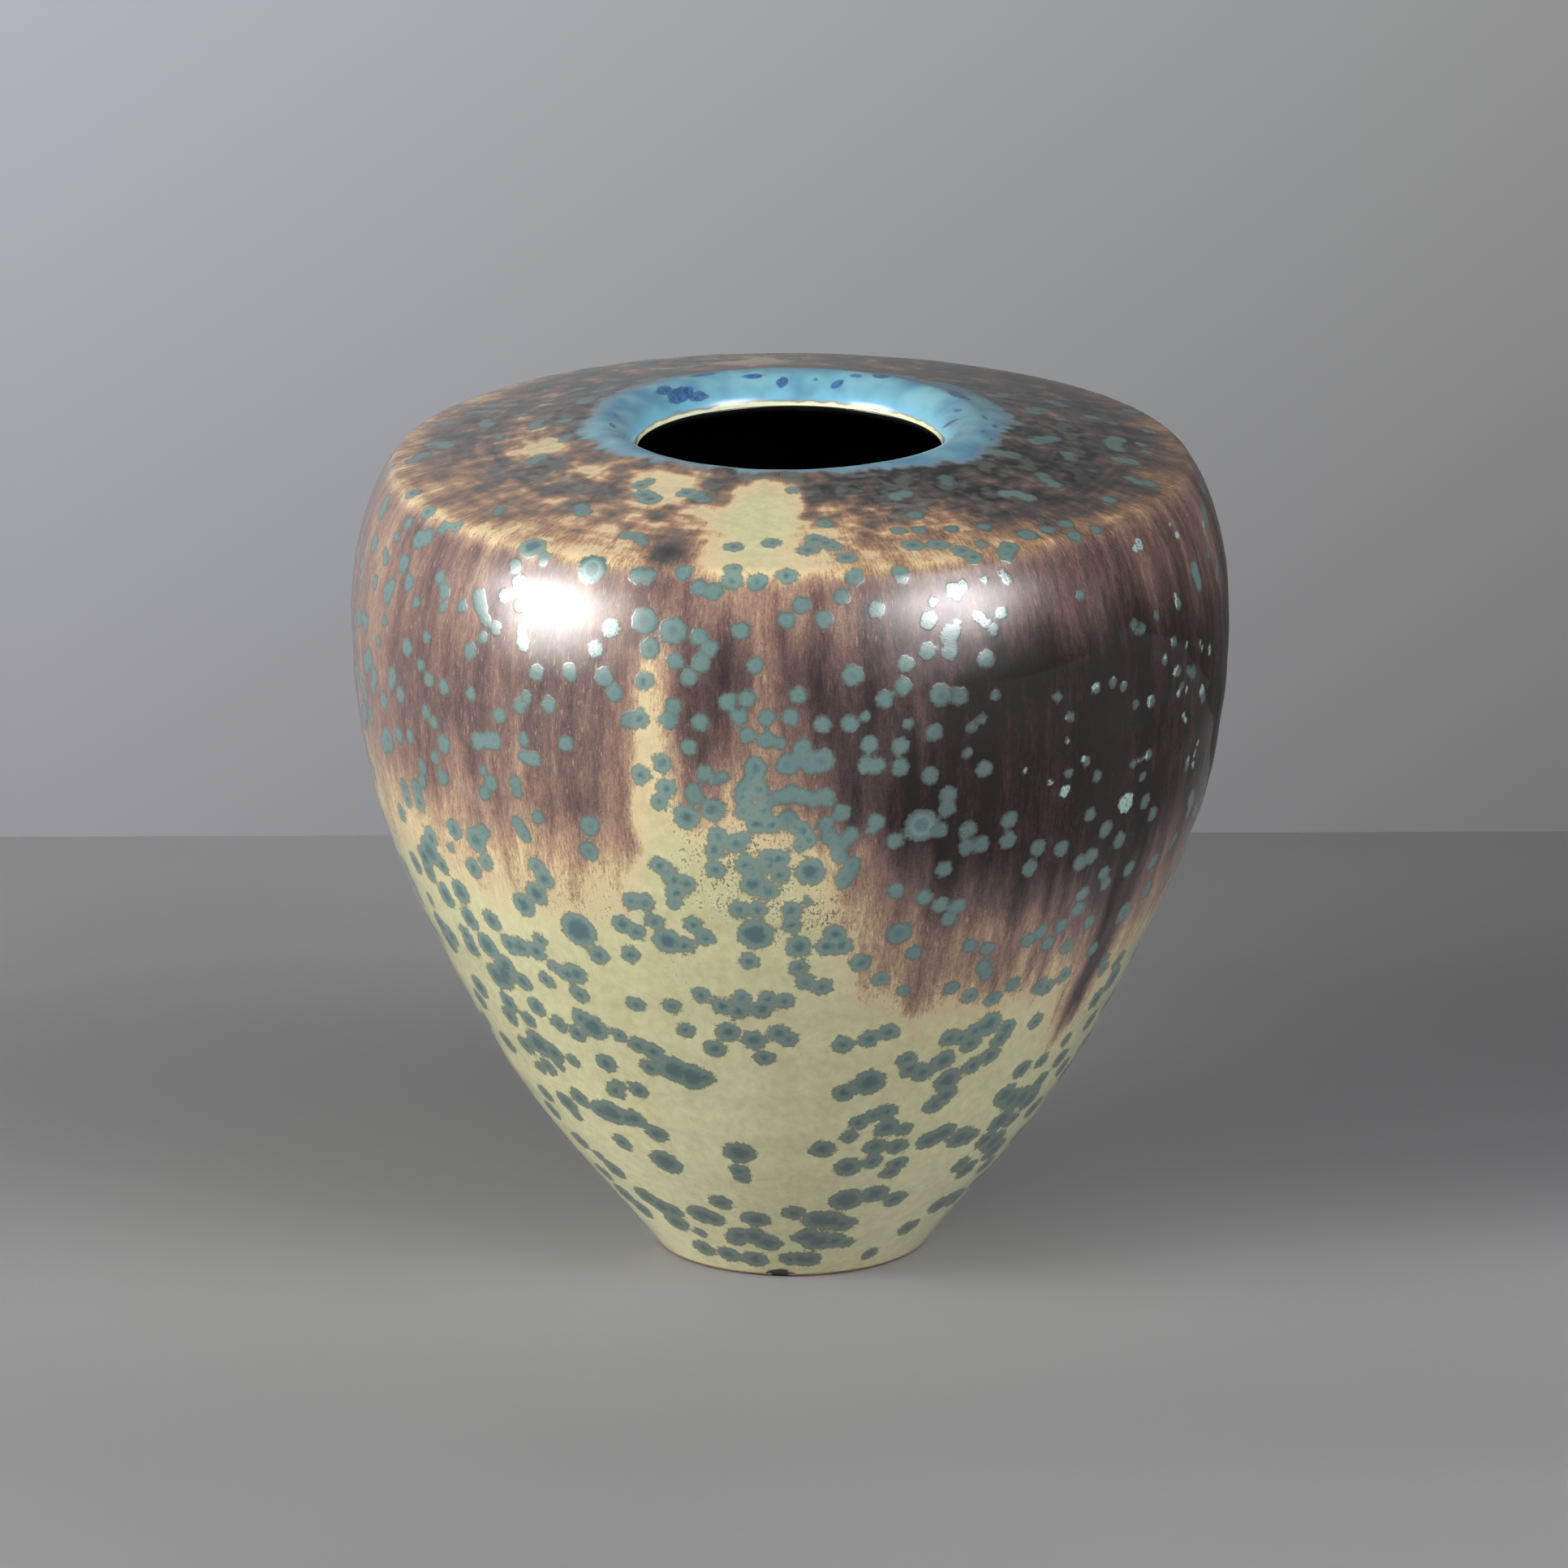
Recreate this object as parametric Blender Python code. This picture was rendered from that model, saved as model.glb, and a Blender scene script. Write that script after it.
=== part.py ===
"""Stoneware vase: a turned clay body under fired glaze coats.

Run with: blender --background --python part.py, or from Blender's text editor.
Units are metres, +Z is up. The origin is the centre of the foot's resting plane.
Every solid is turned about the Z axis. One finished contour runs from the foot, up the wall,
over the shoulder ridge and the domed top, round the rolled-in rim and down the inside to the
middle of the floor. Each glaze coat and the clay below it are offsets of that one contour.
"""

import math

import bmesh
import bpy
from mathutils import Vector

# ---- driving dimensions, in millimetres ----
MM = 0.001
SEGMENTS = 40          # facets round the vase

FOOT_RADIUS = 37.4     # finished wall line where it meets the table
MAX_RADIUS = 119.8     # belly, high on the wall
MAX_RADIUS_Z = 175.0
RIDGE_RADIUS = 108.4   # crisp edge between wall and top
RIDGE_Z = 222.6
CREST_RADIUS = 50.8    # top of the rolled rim
CREST_Z = 233.8
LIP_RADIUS = 41.5      # narrowest point of the mouth
LIP_Z = 226.0

WALL = 6.2             # finished outside to finished inside, across the wall
LIP_THICK = 4.8        # the same, at the lip
FLOOR_Z = 10.0         # finished inside floor
FOOT_INNER_RADIUS = 28.5
FOOT_RECESS = 4.0      # turned hollow under the foot
FOOT_BARE = 1.0        # bare clay left above the table

GAP = 0.3              # clearance between a coat and what it lies on
BROWN_COAT = 0.5       # second, iron-brown coat over the upper half
BASE_COAT = 0.5        # cream crystalline coat where the brown coat lies over it
BROWN_EDGE_Z = 112.0   # lower edge of the brown coat on the wall
BLUE_EDGE_RADIUS = 55.9  # outer edge of the blue collar
LIP_BAND_Z = 227.2     # upper edge of the pale band round the mouth
LIP_COAT = 0.8
LINER_COAT = 0.8
COLLAR_COAT = BROWN_COAT + GAP + BASE_COAT

CLAY_DEPTH_OUT = COLLAR_COAT + GAP    # clay surface below the finished outside
CLAY_DEPTH_LIP = LIP_COAT + GAP       # and below the finished lip and inside

# ---- finished contour, as (radius, height) knots ----
WALL_KNOTS = [
    (FOOT_RADIUS, 0.0), (47.9, 13.4), (58.8, 26.7), (72.2, 44.5), (85.9, 66.8),
    (97.1, 89.0), (107.2, 111.3), (114.6, 133.6), (118.5, 155.8),
    (MAX_RADIUS, MAX_RADIUS_Z), (119.4, 190.0), (117.3, 202.6), (113.5, 213.7),
    (RIDGE_RADIUS, RIDGE_Z),
]
TOP_KNOTS = [
    (RIDGE_RADIUS, RIDGE_Z), (91.0, 226.2), (73.0, 229.5), (BLUE_EDGE_RADIUS, 232.7),
    (CREST_RADIUS, CREST_Z), (46.6, 232.6), (43.4, 229.9), (41.9, 227.7), (LIP_RADIUS, LIP_Z),
]


def catmull(knots, count):
    """Points along a centripetal Catmull-Rom curve through the knots, evenly spaced in knot order."""
    pts = [Vector(k) for k in knots]
    pts = [pts[0] * 2 - pts[1]] + pts + [pts[-1] * 2 - pts[-2]]
    out = []
    spans = len(knots) - 1
    for i in range(count + 1):
        u = i / count * spans
        k = min(int(u), spans - 1)
        f = u - k
        p0, p1, p2, p3 = pts[k:k + 4]
        t0 = 0.0
        t1 = t0 + (p1 - p0).length ** 0.5
        t2 = t1 + (p2 - p1).length ** 0.5
        t3 = t2 + (p3 - p2).length ** 0.5
        t = t1 + f * (t2 - t1)
        a1 = p0 * ((t1 - t) / (t1 - t0)) + p1 * ((t - t0) / (t1 - t0))
        a2 = p1 * ((t2 - t) / (t2 - t1)) + p2 * ((t - t1) / (t2 - t1))
        a3 = p2 * ((t3 - t) / (t3 - t2)) + p3 * ((t - t2) / (t3 - t2))
        b1 = a1 * ((t2 - t) / (t2 - t0)) + a2 * ((t - t0) / (t2 - t0))
        b2 = a2 * ((t3 - t) / (t3 - t1)) + a3 * ((t - t1) / (t3 - t1))
        out.append(b1 * ((t2 - t) / (t2 - t1)) + b2 * ((t - t1) / (t2 - t1)))
    return out


def normals(path):
    """Mitred normal at each point, pointing out of the clay, so that offsets of the path stay parallel to it."""
    out = []
    for i, p in enumerate(path):
        legs = []
        if i > 0:
            legs.append((p - path[i - 1]).normalized())
        if i < len(path) - 1:
            legs.append((path[i + 1] - p).normalized())
        sides = [Vector((d.y, -d.x)) for d in legs]
        mean = sum(sides, Vector((0.0, 0.0))).normalized()
        out.append(mean / max(0.75, mean.dot(sides[0])))
    return out


def cut_at(path, test, gap, start=0):
    """Puts two points, gap apart, where test first changes sign after point start; returns the path and the first one's index."""
    for i in range(start + 1, len(path)):
        a, b = test(path[i - 1]), test(path[i])
        if a * b < 0:
            f = a / (a - b)
            mid = path[i - 1].lerp(path[i], f)
            step = (path[i] - path[i - 1]).normalized() * (gap / 2)
            # a knot that would lie within half a millimetre of the cut gives way to it
            before = path[:i] if (path[i - 1] - mid).length > 0.5 else path[:i - 1]
            after = path[i:] if (path[i] - mid).length > 0.5 else path[i + 1:]
            return before + [mid - step, mid + step] + after, len(before)
    raise ValueError("the contour never crosses that line")


def build_contour():
    """The finished contour as a list of points, and the index of the first point of each boundary pair."""
    wall = catmull(WALL_KNOTS, 15)
    top = catmull(TOP_KNOTS, 13)
    # rounded nose of the lip, turning from the mouth's throat to the underside of the rim
    nose_r = LIP_THICK / 2
    nose_c = Vector((LIP_RADIUS + nose_r, LIP_Z))
    nose = [
        nose_c + Vector((math.cos(a), math.sin(a))) * nose_r
        for a in (math.radians(d) for d in (218, 256, 294))
    ]
    # inside: the wall and the top moved in by the wall thickness
    outer = wall + top[1:]
    away = normals(outer)
    last_wall = len(wall) - 1
    under = [outer[i] - away[i] * WALL for i in range(last_wall + 7, last_wall, -2)]
    back = [outer[i] - away[i] * WALL for i in range(last_wall, 1, -2)]
    curve = [Vector((45.0, 19.0)), Vector((33.0, FLOOR_Z + 1.9)), Vector((20.0, FLOOR_Z + 0.2)), Vector((0.0, FLOOR_Z))]
    back = [p for p in back if p.y > 26.0]
    path = wall + top[1:] + nose + under + back + curve
    marks = {}
    path, marks["foot"] = cut_at(path, lambda p: p.y - FOOT_BARE, GAP)
    path, marks["brown"] = cut_at(path, lambda p: p.y - BROWN_EDGE_Z, GAP, marks["foot"] + 1)
    ridge = path.index(wall[-1])
    path, marks["blue"] = cut_at(path, lambda p: p.x - BLUE_EDGE_RADIUS, GAP, ridge)
    crest = max(range(len(path)), key=lambda i: path[i].y)
    path, marks["lip"] = cut_at(path, lambda p: p.y - LIP_BAND_Z, GAP, crest)
    path, marks["liner"] = cut_at(path, lambda p: p.y - (LIP_Z - 0.7), GAP, marks["lip"] + 1)
    return path, marks


PATH, MARK = build_contour()
NORMAL = normals(PATH)
LAST = len(PATH) - 1


def at(i, depth):
    """The contour's point i, moved down into the wall by depth. On the axis it only moves along Z."""
    if i == LAST:
        return Vector((0.0, PATH[i].y - depth))
    return PATH[i] - NORMAL[i] * depth


def coat(first, last, top, bottom):
    """Closed section of a coat from contour point first to last; top and bottom are depths, each a number or a function of the index."""
    top_at = top if callable(top) else lambda i: top
    bottom_at = bottom if callable(bottom) else lambda i: bottom
    upper = [at(i, top_at(i)) for i in range(first, last + 1)]
    lower = [at(i, bottom_at(i)) for i in range(last, first - 1, -1)]
    return upper + lower


def turned(name, section, colour, roughness):
    """Spins a closed section round Z into a solid. An edge that lies on the axis is left out."""
    mesh = bpy.data.meshes.new(name)
    bm = bmesh.new()
    verts = [bm.verts.new((p.x * MM, 0.0, p.y * MM)) for p in section]
    edges = [
        bm.edges.new((a, b))
        for a, b in zip(verts, verts[1:] + verts[:1])
        if max(a.co.x, b.co.x) > 1e-7
    ]
    bmesh.ops.spin(
        bm, geom=verts + edges, cent=(0, 0, 0), axis=(0, 0, 1),
        angle=2 * math.pi, steps=SEGMENTS, use_merge=False, use_duplicate=False,
    )
    bmesh.ops.remove_doubles(bm, verts=bm.verts, dist=2e-6)
    loose = [e for e in bm.edges if not e.link_faces]
    bmesh.ops.delete(bm, geom=loose, context="EDGES")
    bmesh.ops.recalc_face_normals(bm, faces=bm.faces)
    if bm.calc_volume(signed=True) < 0:
        bmesh.ops.reverse_faces(bm, faces=bm.faces)
    bm.to_mesh(mesh)
    bm.free()
    mesh.shade_smooth()
    mesh.set_sharp_from_angle(angle=math.radians(35))
    obj = bpy.data.objects.new(name, mesh)
    bpy.context.scene.collection.objects.link(obj)
    material = bpy.data.materials.new(name)
    material.use_nodes = True
    shader = material.node_tree.nodes["Principled BSDF"]
    shader.inputs["Base Color"].default_value = (*colour, 1.0)
    shader.inputs["Roughness"].default_value = roughness
    shader.inputs["Metallic"].default_value = 0.0
    mesh.materials.append(material)
    obj.parent = AXIS
    return obj


for old in list(bpy.data.objects):
    bpy.data.objects.remove(old, do_unlink=True)

AXIS = bpy.data.objects.new("vase_axis", None)
bpy.context.scene.collection.objects.link(AXIS)


# ---- clay body: one thrown and fired piece, with a turned foot ring ----
def clay_depth(i):
    """Deeper under the outer coats, shallower at the lip and inside, with a ramp under the collar."""
    f = (i - MARK["blue"] - 1) / (MARK["lip"] - MARK["blue"] - 1)
    f = min(1.0, max(0.0, f))
    return CLAY_DEPTH_OUT + (CLAY_DEPTH_LIP - CLAY_DEPTH_OUT) * f


foot_edge = at(0, CLAY_DEPTH_OUT)
clay_section = (
    [
        Vector((0.0, FOOT_RECESS)),
        Vector((FOOT_INNER_RADIUS - 2.0, FOOT_RECESS)),
        Vector((FOOT_INNER_RADIUS, 0.0)),
        Vector((foot_edge.x - 0.4, 0.0)),
    ]
    + [at(i, clay_depth(i)) for i in range(1, LAST + 1)]
)
turned("clay_body", clay_section, (0.300, 0.205, 0.140), 0.85)

# ---- cream crystalline base coat: the whole outside, thicker below the brown coat's edge ----
base_section = (
    [at(i, 0.0) for i in range(MARK["foot"] + 1, MARK["brown"] + 1)]
    + [at(i, BROWN_COAT + GAP) for i in range(MARK["brown"], MARK["blue"] + 1)]
    + [at(i, COLLAR_COAT) for i in range(MARK["blue"], MARK["foot"], -1)]
)
turned("base_glaze", base_section, (0.546, 0.503, 0.270), 0.12)

# ---- iron-brown second coat over the upper wall, the ridge and the top ----
turned(
    "brown_overglaze",
    coat(MARK["brown"] + 1, MARK["blue"], 0.0, BROWN_COAT),
    (0.165, 0.082, 0.066), 0.12,
)

# ---- blue collar round the rolled rim ----
turned(
    "collar_glaze",
    coat(MARK["blue"] + 1, MARK["lip"], 0.0, lambda i: clay_depth(i) - GAP),
    (0.100, 0.330, 0.520), 0.10,
)

# ---- thin pale glaze where it breaks over the lip ----
turned(
    "lip_glaze",
    coat(MARK["lip"] + 1, MARK["liner"], 0.0, LIP_COAT),
    (0.560, 0.510, 0.330), 0.15,
)

# ---- dark liner glaze over the whole inside ----
turned(
    "liner_glaze",
    coat(MARK["liner"] + 1, LAST, 0.0, LINER_COAT),
    (0.006, 0.006, 0.006), 0.15,
)
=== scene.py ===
"""Looks for the stoneware vase: the fine turned surface, its glazes and crystals, the floor, the light and the camera.

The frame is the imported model. Every glaze piece here is a slice of one fine turned grid whose contour is the
CAD's own: (angle round the vase, distance along the contour from the foot). Angle 0 faces the camera (-Y) and
grows towards +X. Distances are in millimetres until they become vertices.
"""

import math

import bpy
import numpy as np
from mathutils import Matrix, Vector


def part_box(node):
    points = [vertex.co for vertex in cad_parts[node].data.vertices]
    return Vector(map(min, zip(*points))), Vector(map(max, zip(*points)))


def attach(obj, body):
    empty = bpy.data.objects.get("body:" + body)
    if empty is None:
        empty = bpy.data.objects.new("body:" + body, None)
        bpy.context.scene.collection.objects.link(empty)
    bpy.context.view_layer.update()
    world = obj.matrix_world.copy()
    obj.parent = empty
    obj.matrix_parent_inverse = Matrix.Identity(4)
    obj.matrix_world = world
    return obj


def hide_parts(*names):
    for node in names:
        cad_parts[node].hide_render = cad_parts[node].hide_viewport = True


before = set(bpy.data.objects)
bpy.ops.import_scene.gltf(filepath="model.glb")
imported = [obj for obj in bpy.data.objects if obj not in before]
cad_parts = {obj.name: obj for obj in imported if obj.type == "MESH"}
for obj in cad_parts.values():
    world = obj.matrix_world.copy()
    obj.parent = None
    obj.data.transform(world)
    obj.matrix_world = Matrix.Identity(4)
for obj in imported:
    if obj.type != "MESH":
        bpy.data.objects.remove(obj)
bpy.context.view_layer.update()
MM = 0.001
rng = np.random.default_rng(20240611)

# ------------------------------------------------------------------ contour
FOOT_Z, BROWN_Z, BLUE_R, LIP_BAND_Z, LIP_Z, LIP_R = 1.0, 112.0, 55.9, 227.2, 226.0, 41.5
WALL, NOSE = 6.2, 2.4
WALL_KNOTS = [
    (37.4, 0.0), (47.9, 13.4), (58.8, 26.7), (72.2, 44.5), (85.9, 66.8), (97.1, 89.0), (107.2, 111.3),
    (114.6, 133.6), (118.5, 155.8), (119.8, 175.0), (119.4, 190.0), (117.3, 202.6), (113.5, 213.7), (108.4, 222.6),
]
TOP_KNOTS = [
    (108.4, 222.6), (91.0, 226.2), (73.0, 229.5), (55.9, 232.7), (50.8, 233.8), (46.6, 232.6), (43.4, 229.9),
    (41.9, 227.7), (41.5, 226.0),
]


def catmull(knots, count):
    """Centripetal Catmull-Rom curve through the knots."""
    pts = np.array(knots, float)
    pts = np.vstack([pts[0] * 2 - pts[1], pts, pts[-1] * 2 - pts[-2]])
    spans = len(knots) - 1
    out = []
    for i in range(count + 1):
        u = i / count * spans
        k = min(int(u), spans - 1)
        p0, p1, p2, p3 = pts[k:k + 4]
        t1 = np.linalg.norm(p1 - p0) ** 0.5
        t2 = t1 + np.linalg.norm(p2 - p1) ** 0.5
        t3 = t2 + np.linalg.norm(p3 - p2) ** 0.5
        t = t1 + (u - k) * (t2 - t1)
        a1 = p0 * ((t1 - t) / t1) + p1 * (t / t1)
        a2 = p1 * ((t2 - t) / (t2 - t1)) + p2 * ((t - t1) / (t2 - t1))
        a3 = p2 * ((t3 - t) / (t3 - t2)) + p3 * ((t - t2) / (t3 - t2))
        b1 = a1 * ((t2 - t) / t2) + a2 * (t / t2)
        b2 = a2 * ((t3 - t) / (t3 - t1)) + a3 * ((t - t1) / (t3 - t1))
        out.append(b1 * ((t2 - t) / (t2 - t1)) + b2 * ((t - t1) / (t2 - t1)))
    return np.array(out)


def soften(path, mark, sigma, reach):
    """Rounds the path near arc length mark with a Gaussian."""
    s = np.r_[0, np.cumsum(np.linalg.norm(np.diff(path, axis=0), axis=1))]
    even = np.linspace(0, s[-1], int(s[-1] / 0.1) + 1)
    p = np.stack([np.interp(even, s, path[:, 0]), np.interp(even, s, path[:, 1])], 1)
    h = even[1]
    k = int(4 * sigma / h)
    g = np.exp(-0.5 * (np.arange(-k, k + 1) * h / sigma) ** 2)
    g /= g.sum()
    pad = np.vstack([
        p[:1] + (p[0] - p[1]) * np.arange(k, 0, -1)[:, None], p,
        p[-1:] + (p[-1] - p[-2]) * np.arange(1, k + 1)[:, None],
    ])
    smooth = np.stack([np.convolve(pad[:, i], g, "valid") for i in (0, 1)], 1)
    w = np.exp(-0.5 * ((even - mark) / reach) ** 2)[:, None]
    return even, p * (1 - w) + smooth * w


wall_line = catmull(WALL_KNOTS, 1300)
top_line = catmull(TOP_KNOTS, 700)
nose_line = np.array([
    (LIP_R + NOSE + NOSE * math.cos(a), LIP_Z + NOSE * math.sin(a)) for a in np.radians(np.arange(183, 200, 3))
])
S_RIDGE = float(np.linalg.norm(np.diff(wall_line, axis=0), axis=1).sum())
S, P = soften(np.vstack([wall_line, top_line[1:], nose_line]), S_RIDGE, 1.5, 9.0)
T = np.gradient(P, S, axis=0)
T /= np.linalg.norm(T, axis=1)[:, None]
NRM = np.stack([T[:, 1], -T[:, 0]], 1)


def arc_where(values, target, start, stop):
    """Arc length at which values, read along S from start to stop, crosses target."""
    idx = np.where((S >= start) & (S <= stop))[0]
    v = values[idx] - target
    j = idx[np.where(v[:-1] * v[1:] <= 0)[0][0]]
    f = (target - values[j]) / (values[j + 1] - values[j])
    return float(S[j] + f * (S[j + 1] - S[j]))


S_FOOT = arc_where(P[:, 1], FOOT_Z, 0, 10)
S_BROWN = arc_where(P[:, 1], BROWN_Z, 10, S_RIDGE)
S_BLUE = arc_where(P[:, 0], BLUE_R, S_RIDGE + 5, S[-1])
S_CREST = float(S[np.argmax(P[:, 1])])
S_LIP = arc_where(P[:, 1], LIP_BAND_Z, S_CREST, S[-1])
S_END = arc_where(P[:, 1], LIP_Z + 0.02, S_LIP, S[-1])

for node, want in (("brown_overglaze", 119.8), ("base_glaze", 119.0)):
    if abs(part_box(node)[1].x / MM - want) > 1.2:
        raise RuntimeError(f"{node} in the frame is not the contour this script is made for")

# ------------------------------------------------------------------ grid
NSEG = 640
BREAKS = [S_FOOT, S_BROWN, S_RIDGE, S_BLUE, S_LIP, S_END]
STEPS = [1.1, 1.1, 1.1, 0.75, 0.5]
rows, BREAK_ROW = [S_FOOT], [0]
for a, b, step in zip(BREAKS, BREAKS[1:], STEPS):
    n = max(3, int(round((b - a) / step)))
    rows += list(np.linspace(a, b, n + 1)[1:])
    BREAK_ROW.append(len(rows) - 1)
ROWS = np.array(rows)
ANG = -math.pi + 2 * math.pi * np.arange(NSEG) / NSEG
TH, SS = np.meshgrid(ANG, ROWS)          # (row, angle)
DEG = np.degrees(TH)
RAD = np.interp(SS, S, P[:, 0])          # radius there, for lengths round the vase
SHAPE = TH.shape


def turn(a, b):
    """Signed angle from b to a, in radians, within half a turn."""
    return (a - b + math.pi) % (2 * math.pi) - math.pi


def waves(seed, count, across, along, power=0.6):
    """Smooth periodic variation over the grid, about -1 to 1: across and along are its shortest waves in mm."""
    r = np.random.default_rng(seed)
    out = np.zeros(SHAPE)
    total = 0.0
    for _ in range(count):
        k = int(r.integers(0, max(2, int(2 * math.pi * 110 / across)) + 1))
        m = r.uniform(-1, 1) / along
        amp = 1.0 / (1.0 + k) ** power
        out += amp * np.sin(k * TH + 2 * math.pi * m * SS + r.uniform(0, 6.283))
        total += amp * amp
    return out / math.sqrt(total / 2) / 1.6


def bump(th, s, wide, tall, soft=1.0, slant=0.0):
    """Smooth blob, 1 at (th degrees, s mm), with half sizes wide and tall in mm. slant leans it, in mm per mm of s."""
    dv = SS - s
    du = turn(TH, math.radians(th)) * RAD - slant * dv
    return np.exp(-((du / wide) ** 2 + (dv / tall) ** 2) ** soft)


def along(th_s, value=None):
    """Value interpolated round the vase from (degrees, value) points, closing on itself."""
    a = np.array([p[0] for p in th_s], float)
    v = np.array([p[1] for p in th_s], float)
    a3, v3 = np.r_[a - 360, a, a + 360], np.r_[v, v, v]
    return np.interp(DEG, a3, v3)


def step01(x, a, b):
    t = np.clip((x - a) / (b - a), 0, 1)
    return t * t * (3 - 2 * t)

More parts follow.
